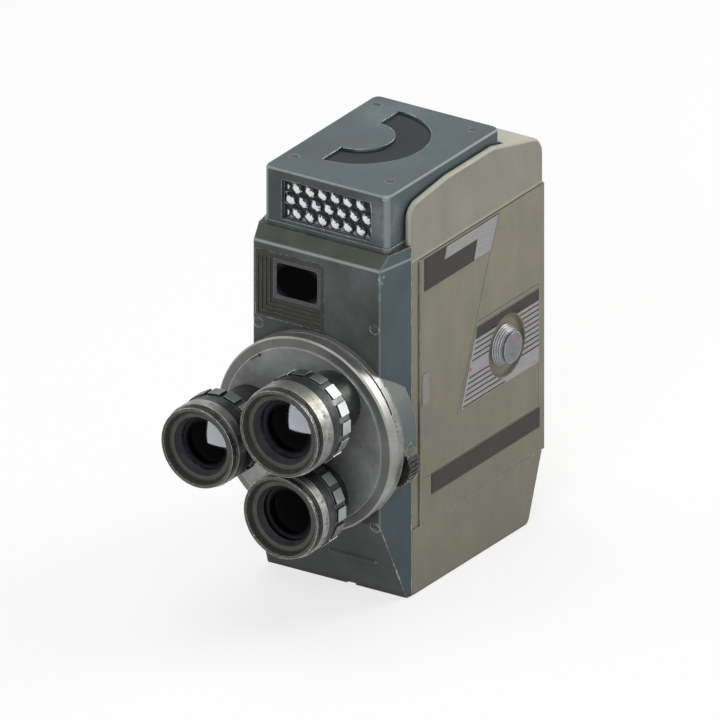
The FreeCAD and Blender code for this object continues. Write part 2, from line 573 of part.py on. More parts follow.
row_number = 0
for alias, value, meaning in SIZES:
    row_number += 1
    sheet.set(f"A{row_number}", str(value))
    sheet.setAlias(f"A{row_number}", alias)
    sheet.set(f"B{row_number}", meaning)
for alias, formula in tuple(DERIVED) + tuple(LENS_DERIVED):
    row_number += 1
    sheet.set(f"A{row_number}", "=" + formula)
    sheet.setAlias(f"A{row_number}", alias)
doc.recompute()


def size(alias):
    return float(sheet.get(alias))


NEAR = 0.01
ORIGIN = FreeCAD.Vector(0, 0, 0)
TOWARDS = {
    "X": FreeCAD.Rotation(FreeCAD.Vector(1, 1, 1), 120),
    "-X": FreeCAD.Rotation(
        FreeCAD.Vector(0, 1, 0), FreeCAD.Vector(0, 0, -1), FreeCAD.Vector(-1, 0, 0), "XYZ"),
    "-Y": FreeCAD.Rotation(FreeCAD.Vector(1, 0, 0), 90),
    "Z": FreeCAD.Rotation(),
}
PLANES = {"Z": "XY_Plane", "-Y": "XZ_Plane", "X": "YZ_Plane"}
ALONG = {
    "Z": FreeCAD.Vector(0, 0, 1),
    "-Y": FreeCAD.Vector(0, -1, 0),
    "X": FreeCAD.Vector(1, 0, 0),
}
spots = {}
pieces = []


def put(item, spot, towards="Z", turn=0.0):
    """Place an item by formulas; its own axis points towards the named direction."""
    spin = FreeCAD.Rotation(FreeCAD.Vector(0, 0, 1), turn)
    item.Placement = FreeCAD.Placement(ORIGIN, TOWARDS[towards] * spin)
    for letter, text in zip("xyz", spot):
        item.setExpression(f".Placement.Base.{letter}", linked(text))
    spots[item.Name] = spot
    return item


def box(name, low, high):
    """A box between two corners given as formulas."""
    item = doc.addObject("Part::Box", name)
    for side, near, far in zip(("Length", "Width", "Height"), low, high):
        item.setExpression(side, linked(f"({far}) - ({near})"))
    return put(item, low)


def rod(name, towards, spot, radius, length):
    item = doc.addObject("Part::Cylinder", name)
    item.setExpression("Radius", linked(radius))
    item.setExpression("Height", linked(length))
    return put(item, spot, towards)


def sector(name, towards, spot, radius, length, start, sweep):
    """Part of a round, from an angle through a sweep, both formulas."""
    item = doc.addObject("Part::Cylinder", name)
    item.setExpression("Radius", linked(radius))
    item.setExpression("Height", linked(length))
    item.setExpression("Angle", linked(sweep))
    return put(item, spot, towards, start)


def cone(name, towards, spot, near, far, length):
    item = doc.addObject("Part::Cone", name)
    item.setExpression("Radius1", linked(near))
    item.setExpression("Radius2", linked(far))
    item.setExpression("Height", linked(length))
    return put(item, spot, towards)


def ball(name, spot, radius):
    item = doc.addObject("Part::Sphere", name)
    item.setExpression("Radius", linked(radius))
    return put(item, spot)


def fuse(name, items):
    item = doc.addObject("Part::MultiFuse", name)
    item.Shapes = items
    return item


def gather(name, items):
    """Separate solids kept as one piece."""
    item = doc.addObject("Part::Compound", name)
    item.Links = items
    return item


def cut(name, base, tools):
    item = doc.addObject("Part::Cut", name)
    item.Base = base
    item.Tool = tools[0] if len(tools) == 1 else fuse(f"{name}_tools", tools)
    return item


def common(name, first, second):
    item = doc.addObject("Part::MultiCommon", name)
    item.Shapes = [first, second]
    return item


def tube(name, towards, spot, outer, inner, length):
    """A ring: a round with a bore, cut past both ends."""
    body = rod(f"{name}_outer", towards, spot, outer, length)
    step = {"X": ("overcut", "0", "0"), "-Y": ("0", "-overcut", "0"), "Z": ("0", "0", "overcut")}
    start = tuple(f"{text} - ({shift})" for text, shift in zip(spot, step[towards]))
    bore = rod(f"{name}_bore", towards, start, inner, f"{length} + 2 * overcut")
    return cut(name, body, [bore])


def sketch_on(body, name, towards):
    sketch = body.newObject("Sketcher::SketchObject", name)
    plane = [item for item in body.Origin.OriginFeatures if item.Role == PLANES[towards]][0]
    sketch.AttachmentSupport = [(plane, "")]
    sketch.MapMode = "FlatFace"
    return sketch


def draw_outline(sketch, points):
    """A closed outline through points given as pairs of formulas."""
    count = len(points)
    corners = []
    for place in range(count):
        angle = 2 * math.pi * place / count
        corners.append(FreeCAD.Vector(math.cos(angle), math.sin(angle), 0))
    for place in range(count):
        sketch.addGeometry(Part.LineSegment(corners[place], corners[(place + 1) % count]), False)
    for place in range(count):
        sketch.addConstraint(Sketcher.Constraint("Coincident", place, 2, (place + 1) % count, 1))
    for place, point in enumerate(points):
        for kind, text, start in zip(("DistanceX", "DistanceY"), point, corners[place]):
            number = sketch.addConstraint(Sketcher.Constraint(kind, -1, 1, place, 1, start))
            sketch.setExpression(f"Constraints[{number}]", linked(text))


def draw_circle(sketch, radius):
    sketch.addGeometry(Part.Circle(ORIGIN, FreeCAD.Vector(0, 0, 1), 1), False)
    sketch.addConstraint(Sketcher.Constraint("Coincident", 0, 3, -1, 1))
    number = sketch.addConstraint(Sketcher.Constraint("Radius", 0, 1))
    sketch.setExpression(f"Constraints[{number}]", linked(radius))


def pad(body, sketch, name, length):
    item = body.newObject("PartDesign::Pad", name)
    item.Profile = sketch
    item.setExpression("Length", linked(length))
    sketch.Visibility = False
    return item


def edges_of(item, choose):
    """Names of the edges that a test picks by their box."""
    doc.recompute()
    found = []
    for place, edge in enumerate(item.Shape.Edges):
        if choose(edge.BoundBox):
            found.append(f"Edge{place + 1}")
    return found


def slab(name, towards, spot, points, length, rounds=()):
    """An outline padded towards a direction, with some of its edges rounded."""
    body = doc.addObject("PartDesign::Body", name)
    sketch = sketch_on(body, f"{name}_outline", towards)
    draw_outline(sketch, points)
    last = pad(body, sketch, f"{name}_pad", length)
    for place, (radius, choose) in enumerate(rounds):
        names = edges_of(last, choose)
        rounding = body.newObject("PartDesign::Fillet", f"{name}_round{place}")
        rounding.Base = (last, names)
        rounding.setExpression("Radius", linked(radius))
        last = rounding
    body.Tip = last
    return put(body, spot)


def toothed(name, towards, spot, root, tooth, count, length, spin=0.0):
    """A round with teeth; a tooth is its foot's half width, tip radius and tip's half width."""
    foot, tip, point = tooth
    body = doc.addObject("PartDesign::Body", name)
    round_sketch = sketch_on(body, f"{name}_round", towards)
    draw_circle(round_sketch, root)
    pad(body, round_sketch, f"{name}_core", length)
    tooth_sketch = sketch_on(body, f"{name}_tooth", towards)
    low = f"{root} - overcut"
    draw_outline(tooth_sketch, ((low, f"-({foot})"), (tip, f"-({point})"), (tip, point), (low, foot)))
    tooth_pad = pad(body, tooth_sketch, f"{name}_tooth_pad", length)
    ring = body.newObject("PartDesign::PolarPattern", f"{name}_teeth")
    ring.Originals = [tooth_pad]
    ring.Axis = (tooth_sketch, ["N_Axis"])
    ring.Angle = 360
    ring.setExpression("Occurrences", linked(count))
    body.Tip = ring
    put(body, spot)
    body.Placement.Rotation = FreeCAD.Rotation(ALONG[towards], spin)
    return body


def gear_tooth(pitch):
    return (
        f"gear_module * {TOOTH_FOOT}", f"{pitch} + {TOOTH_RISE} * gear_module",
        f"gear_module * {TOOTH_POINT}")


def mesh_spin(y, z, teeth):
    """The turn that sets a gear's teeth between the drive gear's, where the two meet."""
    towards = math.degrees(math.atan2(size(z) - size("drive_z"), size(y) - size("drive_y")))
    step = 360.0 / size("drive_teeth")
    return towards + 180.0 + (step / 2 + towards % step) * size("drive_teeth") / size(teeth)


def finish(label, item):
    """Name a finished piece and move it from the seam's frame to the origin's."""
    item.Label = label
    x, y, z = spots.get(item.Name, ("0", "0", "0"))
    put_back = {"x": x, "y": f"{y} + seam_y", "z": z}
    for letter, text in put_back.items():
        item.setExpression(f".Placement.Base.{letter}", linked(text))
    pieces.append(item)
    return item


def upright(low_x, high_x, low_y, high_y):
    """Outline of an upright block, seen from above."""
    return ((low_x, low_y), (high_x, low_y), (high_x, high_y), (low_x, high_y))


def is_upright(edge):
    return edge.ZLength > 10 * max(edge.XLength, edge.YLength, NEAR)


def is_back_upright(edge):
    return is_upright(edge) and edge.YMin > size("body_depth") / 2


def is_front_upright(edge):
    return is_upright(edge) and edge.YMax < NEAR


def is_across(edge):
    return edge.XLength > size("frame_half") and edge.ZLength < NEAR


# Main casting
frame = slab(
    "frame", "Z", ("0", "0", "base_height"), upright("-frame_half", "frame_half", "0", "pillar_depth"),
    "case_height - base_height", rounds=(("front_edge_round", is_front_upright),))
block = box("block", ("-inner_face", "0", "base_height"), ("inner_face", "body_depth", "case_height"))
film_room = box(
    "film_room", ("chamber_x", "wall", "floor_top"), ("inner_face - pillar_lip", "back_wall", "roof_under"))
film_mouth = box(
    "film_mouth", ("chamber_x", "pillar_depth + pillar_lip", "floor_top"),
    ("half_width", "back_wall", "roof_under"))
works_room = box(
    "works_room", ("-inner_face + pillar_lip", "wall", "floor_top"),
    ("mechanism_x", "back_wall", "roof_under"))
works_mouth = box(
    "works_mouth", ("-half_width", "pillar_depth + pillar_lip", "floor_top"),
    ("mechanism_x", "back_wall", "roof_under"))
hollow = cut("hollow_casting", fuse("casting_blank", [frame, block]),
             [film_room, film_mouth, works_room, works_mouth])

SIDE_SCREWS = (
    ("front_low", "pillar_depth + side_screw_inset", "floor_top + side_screw_inset",
     "wall", "pillar_depth + corner_block", "floor_top", "floor_top + corner_block"),
    ("front_high", "pillar_depth + side_screw_inset", "roof_under - side_screw_inset",
     "wall", "pillar_depth + corner_block", "roof_under - corner_block", "roof_under"),
    ("back_low", "back_wall - side_screw_inset", "floor_top + side_screw_inset",
     "back_wall - corner_block", "back_wall", "floor_top", "floor_top + corner_block"),
    ("back_high", "back_wall - side_screw_inset", "roof_under - side_screw_inset",
     "back_wall - corner_block", "back_wall", "roof_under - corner_block", "roof_under"),
)
corner_blocks = []
for name, y, z, low_y, high_y, low_z, high_z in SIDE_SCREWS:
    corner_blocks.append(box(
        f"{name}_block", ("-inner_face", low_y, low_z), ("-inner_face + corner_block_depth", high_y, high_z)))
casting = fuse("casting_with_blocks", [hollow] + corner_blocks)

side_screw_end = "-inner_face + screw_grip + screw_bottom_gap"
casting_holes = [
    rod("casting_port", "-Y", ("gate_x", "wall + overcut", "gate_z"), "casting_port_radius",
        "wall + 2 * overcut"),
    rod("takeup_bearing", "X", ("mechanism_x - overcut", "takeup_y", "takeup_z"),
        "shaft_radius + running_gap", "wall + 2 * overcut"),
    rod("supply_seat", "X", ("mechanism_x - overcut", "supply_y", "supply_z"),
        "shaft_radius + running_gap", "wall + 2 * overcut"),
    rod("arbor_seat_bore", "X", ("mechanism_x - overcut", "drive_y", "drive_z"),
        "arbor_radius + running_gap", "arbor_seat + overcut"),
    rod("idler_seat_bore", "X", ("mechanism_x - overcut", "idler_setback", "gate_z"),
        "idler_shaft_radius + running_gap", "arbor_seat + overcut"),
    rod("shutter_bearing", "-Y", ("shutter_x", "wall + overcut", "gate_z"),
        "shutter_shaft_radius + running_gap", "wall + 2 * overcut"),
    rod("eye_hole", "-Y", ("eye_x", "body_depth + overcut", "eye_z"),
        "eye_spigot_radius + seat_gap", "wall + 2 * overcut"),
    box("tube_hole",
        ("-window_width - tube_lap - seat_gap", "-overcut", "window_bottom - tube_lap - seat_gap"),
        ("tube_lap + seat_gap", "wall + overcut", "window_top + tube_lap + seat_gap")),
]
FRONT_SCREWS = (
    ("low_right", "half_width - cover_screw_inset", "cover_screw_low", "low_screw_sink"),
    ("low_left", "cover_screw_inset - half_width", "cover_screw_low", "low_screw_sink"),
    ("high_right", "half_width - cover_screw_inset", "cover_screw_high_right", "0"),
    ("high_left", "cover_screw_inset - half_width", "cover_screw_high_left", "0"),
)
for name, x, z, sink in FRONT_SCREWS:
    casting_holes.append(rod(
        f"{name}_thread", "-Y", (x, "screw_grip + screw_bottom_gap", z), "screw_hole",
        "screw_grip + screw_bottom_gap + overcut"))
for name, y, z, low_y, high_y, low_z, high_z in SIDE_SCREWS:
    casting_holes.append(rod(
        f"{name}_thread", "X", ("-inner_face - overcut", y, z), "screw_hole",
        "screw_grip + screw_bottom_gap + overcut"))
finish("main_casting", cut("main_casting", casting, casting_holes))

# Lower section and the tripod bush
base_back = "body_depth - base_back_inset"
base_toe = "body_depth - base_back_inset - base_back_slope"
base_blank = slab(
    "base_blank", "X", ("-half_width", "0", "0"),
    (("0", "0"), ("0", "base_height"), (base_back, "base_height"), (base_toe, "0")), "2 * half_width",
    rounds=(("base_toe_round", lambda edge: is_across(edge) and edge.YMin > NEAR and edge.ZMax < NEAR),
            ("front_edge_round", is_front_upright)))
base_room = slab(
    "base_room", "X", ("-half_width + wall", "0", "0"),
    (("wall", "wall"), ("wall", "base_height + overcut"),
     (f"{base_back} - wall", "base_height + overcut"), (f"{base_toe} - wall", "wall")),
    "2 * (half_width - wall)")
bush_hole = rod(
    "bush_hole", "Z", ("0", "tripod_setback", "-overcut"), "bush_radius + seat_gap", "wall + 2 * overcut")
finish("base_casting", cut("base_casting", base_blank, [base_room, bush_hole]))

bush_body = rod("bush_body", "Z", ("0", "tripod_setback", "0"), "bush_radius", "bush_height")
bush_flange = rod("bush_flange", "Z", ("0", "tripod_setback", "wall"), "bush_flange_radius",
    "bush_flange_thick")
bush_bore = rod(
    "bush_bore", "Z", ("0", "tripod_setback", "-overcut"), "tripod_drill_radius",
    "bush_height - wall + overcut")
finish("tripod_bush", cut("tripod_bush", fuse("bush_blank", [bush_body, bush_flange]), [bush_bore]))

# Side door
door_low = ("inner_face", "pillar_depth + door_gap", "base_height + door_gap")
door_blank = slab(
    "door_blank", "X", door_low,
    (("0", "0"), ("body_depth - pillar_depth - door_gap", "0"),
     ("body_depth - pillar_depth - door_gap", "case_height - base_height - 2 * door_gap"),
     ("0", "case_height - base_height - 2 * door_gap")), "door_thick",
    rounds=(("corner_round", lambda edge: is_back_upright(edge) and edge.XMin > size("door_thick") / 2),))
lip_out = "pillar_depth + pillar_lip + 2 * door_gap"
lip_edge = (("inner_face - lip_depth", lip_out, "floor_top + 2 * door_gap"),
            ("inner_face + overcut", "back_wall - 2 * door_gap", "roof_under - 2 * door_gap"))
lip_hollow = (("inner_face - lip_depth - overcut", f"{lip_out} + lip_wall",
    "floor_top + 2 * door_gap + lip_wall"),
              ("inner_face", "back_wall - 2 * door_gap - lip_wall", "roof_under - 2 * door_gap - lip_wall"))
lip = cut("door_lip", box("lip_block", *lip_edge), [box("lip_hollow", *lip_hollow)])
recess = rod("recess", "X", ("recess_floor", "lock_y", "lock_height"), "recess_radius",
    "recess_depth + overcut")
lock_bore = rod(
    "lock_bore", "X", ("inner_face - overcut", "lock_y", "lock_height"),
    "knob_shaft_radius + running_gap", "door_thick + overcut")
finish("film_door", cut("film_door", fuse("door_with_lip", [door_blank, lip]), [recess, lock_bore]))

name_top = "case_height - name_top_drop"
name_bottom = f"{name_top} - name_height"
finish("nameplate", slab(
    "nameplate", "X", ("half_width", "0", "0"),
    (("name_front", name_bottom), ("name_back_bottom", name_bottom),
     ("name_back_top", name_top), ("name_front", name_top)), "plate_proud"))
stripe_blank = slab(
    "stripe_blank", "X", ("half_width", "0", "0"),
    (("stripe_front_bottom", "stripe_bottom"), ("stripe_back", "stripe_bottom"),
     ("stripe_back", "stripe_top"), ("stripe_front_top", "stripe_top")), "plate_proud")
stripe_hole = rod(
    "stripe_hole", "X", ("half_width - overcut", "lock_y", "lock_height"),
    "recess_radius + seat_gap", "plate_proud + 2 * overcut")
finish("stripe_plate", cut("stripe_plate", stripe_blank, [stripe_hole]))
finish("lower_plate", box(
    "lower_plate", ("half_width", "lower_front", "lower_bottom"),
    ("half_width + plate_proud", "lower_back", "lower_bottom + lower_height")))
finish("edge_label", box(
    "edge_label", ("half_width", "label_front", "label_bottom"),
    ("half_width + plate_proud", "label_front + label_width", "label_bottom + label_height")))

# Lock knob: ridged foot, face, shaft through the door and cam inside it
knob_parts = []
for place in range(int(size("knob_ridges"))):
    knob_parts.append(cone(
        f"knob_ridge{place}", "X", (f"knob_foot + {place} * knob_ridge", "lock_y", "lock_height"),
        f"knob_radius - {place} * knob_step", f"knob_radius - {place + 1} * knob_step - knob_step / 2",
        "knob_ridge"))
knob_parts.append(rod(
    "knob_face", "X", ("knob_shoulder", "lock_y", "lock_height"), "knob_face_radius", "knob_face_height"))
knob_parts.append(rod(
    "knob_shaft", "X", ("inner_face - face_gap - cam_thick", "lock_y", "lock_height"),
    "knob_shaft_radius", "knob_foot - inner_face + face_gap + cam_thick"))
knob_parts.append(box(
    "knob_cam", ("inner_face - face_gap - cam_thick", "lock_y - cam_radius", "lock_height - cam_width / 2"),
    ("inner_face - face_gap", "lock_y + cam_radius", "lock_height + cam_width / 2")))
finish("lock_knob", fuse("lock_knob", knob_parts))

# Mechanism cover on the other side
cover_low = ("-half_width", "pillar_depth + door_gap", "base_height + door_gap")
works_blank = slab(
    "works_blank", "X", cover_low,
    (("0", "0"), ("body_depth - pillar_depth - door_gap", "0"),
     ("body_depth - pillar_depth - door_gap", "case_height - base_height - 2 * door_gap"),
     ("0", "case_height - base_height - 2 * door_gap")), "door_thick",
    rounds=(("corner_round", lambda edge: is_back_upright(edge) and edge.XMax < size("door_thick") / 2),))
footage_eye = "footage_height + footage_window_rise"
works_holes = [
    rod("key_bearing", "X", ("-half_width - overcut", "drive_y", "drive_z"),
        "key_shaft_radius + running_gap", "door_thick + 2 * overcut"),
    rod("speed_bearing", "X", ("-half_width - overcut", "speed_y", "speed_height"),
        "speed_shaft_radius + running_gap", "door_thick + 2 * overcut"),
    rod("footage_seat", "X", ("-half_width - overcut", "footage_y", footage_eye),
        "footage_window_radius + seat_gap", "footage_window_thick + 2 * seat_gap + overcut"),
    rod("footage_hole", "X", ("-half_width - overcut", "footage_y", footage_eye),
        "footage_window_radius - footage_ledge", "door_thick + 2 * overcut"),
]
side_screws = []
for name, y, z, low_y, high_y, low_z, high_z in SIDE_SCREWS:
    works_holes.append(rod(
        f"{name}_clear", "X", ("-half_width - overcut", y, z), "screw_hole", "door_thick + 2 * overcut"))
    works_holes.append(rod(
        f"{name}_seat", "X", ("-half_width - overcut", y, z), "screw_seat", "overcut + screw_head_thick"))
    head = rod(f"{name}_head", "X", ("-half_width", y, z), "screw_head_radius", "screw_head_thick")
    shank = rod(
        f"{name}_shank", "X", ("-half_width + screw_head_thick", y, z), "screw_radius",
        "door_thick - screw_head_thick + screw_grip")
    slot = box(
        f"{name}_slot", ("-half_width - overcut", f"{y} - screw_seat", f"{z} - screw_slot_width / 2"),
        ("-half_width + screw_slot_depth", f"{y} + screw_seat", f"{z} + screw_slot_width / 2"))
    side_screws.append(cut(f"{name}_side_screw", fuse(f"{name}_side_blank", [head, shank]), [slot]))
finish("mechanism_cover", cut("mechanism_cover", works_blank, works_holes))
finish("side_screws", gather("side_screws", side_screws))
finish("footage_window", rod(
    "footage_window", "X", ("-half_width + 2 * seat_gap", "footage_y", footage_eye),
    "footage_window_radius", "footage_window_thick"))

# Top case
hump_points = (
    ("0", "0"), ("0", "hump_front_rise"), ("hump_peak_start", "hump_peak_rise"),
    ("hump_peak_end", "hump_peak_rise"), ("hump_back", "hump_rear_rise"), ("hump_back", "0"))
hump = slab(
    "hump", "X", ("-hump_half", "0", "case_height"), hump_points, "2 * hump_half",
    rounds=(
        ("hump_front_round", lambda edge: is_across(edge) and edge.YMax < NEAR and edge.ZMin > size("wall")),
        ("hump_rear_round", lambda edge: (
            is_across(edge) and edge.YMin > size("hump_back") - NEAR and edge.ZMin > size("wall"))),
        ("hump_side_round", lambda edge: (
            edge.XLength < size("wall") and edge.ZMin > size("wall") and edge.YLength > size("wall"))),
    ))
channel = box(
    "channel", ("-channel_half", "-overcut", "deck_height"), ("channel_half", "channel_back", "meter_top"))
deck_room = box(
    "deck_room", ("-hump_half + case_wall", "case_wall", "case_height - overcut"),
    ("hump_half - case_wall", "loft_back", "deck_height - case_wall"))
loft = slab(
    "loft", "X", ("-hump_half + case_wall", "0", "0"),
    (("loft_front", "case_height - overcut"), ("loft_front", "loft_top"),
     ("loft_back - hump_rear_round / 2", "loft_top - (loft_back - loft_front) * hump_slope"),
     ("loft_back", "deck_height"), ("loft_back", "case_height - overcut")), "2 * (hump_half - case_wall)")
TOP_SCREWS = (
    ("left_front", "-top_screw_left", "top_screw_front"),
    ("left_back", "-top_screw_left", "top_screw_back"),
    ("right_front", "top_screw_right", "top_screw_front"),
    ("right_back", "top_screw_right", "top_screw_back"),
)
hump_holes = []
for name, x, y in TOP_SCREWS:
    hump_holes.append(rod(
        f"{name}_thread", "Z", (x, y, "deck_height - screw_grip - screw_bottom_gap"), "screw_hole",
        "screw_grip + screw_bottom_gap + overcut"))
finish("top_case", cut("top_case", hump, [channel, deck_room, loft] + hump_holes))

# Light meter housing
housing_blank = slab(
    "housing_blank", "Z", ("0", "0", "deck_height"),
    upright("-meter_half", "meter_half", "-meter_front", "meter_back"), "meter_height",
    rounds=(("meter_corner_round", is_upright),
            ("meter_top_round", lambda edge: edge.ZMin > size("meter_height") - NEAR)))
bead = slab(
    "bead", "Z", ("0", "0", "deck_height"),
    upright("-meter_half - bead_proud", "meter_half + bead_proud",
            "-meter_front - bead_proud", "meter_back + bead_proud"), "bead_height",
    rounds=(("meter_corner_round + bead_proud", is_upright),
            ("bead_proud / 2", lambda edge: edge.ZMin > size("bead_height") - NEAR)))
housing_room = slab(
    "housing_room", "Z", ("0", "0", "deck_height - overcut"),
    upright("-meter_half + meter_wall", "meter_half - meter_wall",
            "-meter_front + meter_wall", "meter_back - meter_wall"), "meter_height - meter_wall + overcut",
    rounds=(("meter_corner_round - meter_wall", is_upright),))
housing_shell = cut("housing_shell", fuse("housing_solid", [housing_blank, bead]), [housing_room])


def half_ring(name, bottom, height, inset):
    """Half a ring about the needle's axis, on its +X side, drawn in by an inset."""
    start = ("dial_x", "dial_y", bottom)
    outer = rod(f"{name}_outer", "Z", start, f"arc_outer_radius - ({inset})", height)
    inner = rod(f"{name}_inner", "Z", start, f"arc_inner_radius + ({inset})", height)
    side = box(
        f"{name}_side", (f"dial_x + ({inset})", "dial_y - arc_outer_radius", bottom),
        ("dial_x + arc_outer_radius + overcut", "dial_y + arc_outer_radius", f"{bottom} + {height}"))
    return cut(name, common(f"{name}_half", outer, side), [inner])


housing_holes = [
    half_ring("arc_seat", "arc_under - seat_gap", "arc_thick + arc_sink + seat_gap + overcut", "0"),
    half_ring("arc_through", "meter_top - meter_wall - overcut", "meter_wall + 2 * overcut", "arc_ledge"),
    box("cell_opening", ("-cell_left", "-meter_front - overcut", "deck_height + cell_bottom"),
        ("cell_right", "-comb_front + overcut", "deck_height + cell_top")),
]
housing_posts = []
housing_screws = []
for name, x, y in TOP_SCREWS:
    housing_posts.append(rod(
        f"{name}_post", "Z", (x, y, "deck_height"), "screw_post_radius", "meter_height - meter_wall"))
    housing_holes.append(rod(
        f"{name}_clear", "Z", (x, y, "deck_height - overcut"), "screw_hole", "meter_height + 2 * overcut"))
    housing_holes.append(rod(
        f"{name}_seat", "Z", (x, y, "meter_top - screw_head_thick"), "screw_seat",
        "screw_head_thick + overcut"))
    head = rod(f"{name}_head", "Z", (x, y, "meter_top - screw_head_thick"), "screw_head_radius",
        "screw_head_thick")
    shank = rod(
        f"{name}_shank", "Z", (x, y, "deck_height - screw_grip"), "screw_radius",
        "screw_grip + meter_height - screw_head_thick")
    slot = box(
        f"{name}_slot", (f"{x} - screw_seat", f"{y} - screw_slot_width / 2", "meter_top - screw_slot_depth"),
        (f"{x} + screw_seat", f"{y} + screw_slot_width / 2", "meter_top + overcut"))
    housing_screws.append(cut(f"{name}_screw", fuse(f"{name}_blank", [head, shank]), [slot]))
finish("meter_housing", cut(
    "meter_housing", fuse("housing_with_posts", [housing_shell] + housing_posts), housing_holes))
finish("housing_screws", gather("housing_screws", housing_screws))
finish("meter_window", half_ring("meter_window", "arc_under", "arc_thick", "seat_gap"))

comb_low = ("-cell_left - comb_lap", "-comb_front", "deck_height + cell_bottom - comb_lap")
comb_high = ("cell_right + comb_lap", "-comb_back", "deck_height + cell_top + comb_lap")
lenslets = []
for row, columns in enumerate(LENSLET_ROWS):
    for column in range(columns):
        lenslets.append(ball(
            f"lenslet_{row}_{column}",
            (f"cell_mid_x + ({column} - {(columns - 1) / 2}) * lenslet_pitch",
             "-comb_front + lenslet_radius - lenslet_rise", f"cell_mid_z + {row - 1} * lenslet_row"),
            "lenslet_radius"))
caps = common("lenslet_caps", fuse("lenslet_balls", lenslets), box(
    "caps_side", ("-cell_left - comb_lap", "-meter_front", "deck_height"),
    ("cell_right + comb_lap", "-comb_front + comb_thick / 2", "meter_top")))
finish("honeycomb_lens", fuse("honeycomb_lens", [box("comb_plate", comb_low, comb_high), caps]))
finish("meter_cell", box(
    "meter_cell", (comb_low[0], "-comb_back", comb_low[2]),
    (comb_high[0], "-comb_back + cell_thick", comb_high[2])))

movement = rod("movement", "Z", ("dial_x", "dial_y", "deck_height"), "movement_radius", "movement_height")
needle_well = rod(
    "needle_well", "Z", ("dial_x", "dial_y", "movement_top - overcut"),
    "needle_pin_radius + running_gap", "2 * overcut")
finish("meter_movement", cut("meter_movement", movement, [needle_well]))
dial = box(
    "dial", ("dial_x - dial_left", "dial_y - dial_half_width", "movement_top"),
    ("dial_x + dial_right", "dial_y + dial_half_width", "dial_top"))
dial_hole = rod(
    "dial_hole", "Z", ("dial_x", "dial_y", "movement_top - overcut"),
    "needle_pin_radius + seat_gap", "dial_thick + 2 * overcut")
finish("meter_dial", cut("meter_dial", dial, [dial_hole]))
needle_mid = "(hub_bottom + hub_top) / 2"
finish("meter_needle", fuse("meter_needle", [
    rod("needle_hub", "Z", ("dial_x", "dial_y", "hub_bottom"), "needle_hub_radius", "needle_hub_height"),
    rod("needle_pin", "Z", ("dial_x", "dial_y", "movement_top - overcut + face_gap"),
        "needle_pin_radius", "hub_bottom - movement_top + overcut - face_gap"),
    box("needle_arm", ("dial_x", "dial_y - needle_width / 2", f"{needle_mid} - needle_thick / 2"),
        ("dial_x + needle_length", "dial_y + needle_width / 2", f"{needle_mid} + needle_thick / 2")),
]))

# Front cover
cover_side = slab(
    "cover_side", "X", ("-half_width", "0", "0"),
    (("0", "0"), ("-chin_toe", "0"), ("-front_depth", "chin_height"), ("-front_depth", "brow_height"),
     ("-brow_setback", "deck_height"), ("0", "deck_height")), "2 * half_width")
cover_plan = slab(
    "cover_plan", "Z", ("0", "0", "0"),
    (("-half_width", "0"), ("half_width", "0"), ("front_half", "-front_depth"),
        ("-front_half", "-front_depth")),
    "deck_height")
cover_blank = common("cover_blank", cover_side, cover_plan)
doc.recompute()
rounded = doc.addObject("Part::Fillet", "cover_rounded")
rounded.Base = cover_blank
front_plane = -size("front_depth")
front_edges = []
for place, edge in enumerate(cover_blank.Shape.Edges):
    span = edge.BoundBox
    if span.YMax < front_plane + NEAR or (span.YMin < front_plane + NEAR and span.ZMax > size("brow_height")):
        front_edges.append((place + 1, size("cover_round"), size("cover_round")))
rounded.Edges = front_edges
boss_spot = ("turret_x", "-boss_back", "turret_height")
boss_depth = "front_depth - boss_back"
cover_solid = fuse("cover_solid", [
    rounded,
    cone("boss", "-Y", boss_spot, "disc_radius - boss_draft", "disc_radius", boss_depth),
    rod("ridge", "X", ("ridge_left", "ridge_y", "ridge_height"), "ridge_radius", "ridge_width"),
    ball("ridge_end_left", ("ridge_left", "ridge_y", "ridge_height"), "ridge_radius"),
    ball("ridge_end_right", ("ridge_left + ridge_width", "ridge_y", "ridge_height"), "ridge_radius"),
])
room_side = slab(
    "room_side", "X", ("-half_width", "0", "0"),
    (("overcut", "wall"), ("chin_in_y", "wall"), ("-front_depth + cover_wall", "chin_in_z"),
     ("-front_depth + cover_wall", "brow_in_z"), ("brow_in_y", "deck_height - cover_wall"),
     ("overcut", "deck_height - cover_wall")), "2 * half_width")
room_plan = slab(
    "room_plan", "Z", ("0", "0", "0"),
    (("-side_in_back", "overcut"), ("side_in_back", "overcut"),
     ("side_in_front", "-front_depth + cover_wall"), ("-side_in_front", "-front_depth + cover_wall")),
    "deck_height")
cover_shell = cut("cover_shell", cover_solid, [common("cover_room", room_side, room_plan)])
cover_additions = [common(
    "wheel_block",
    rod("wheel_block_round", "-Y", ("wheel_x", "-boss_back", "wheel_z"),
        "pocket_radius + wheel_pocket_wall", boss_depth),
    cone("wheel_block_limit", "-Y", boss_spot, "disc_radius - boss_draft", "disc_radius", boss_depth))]
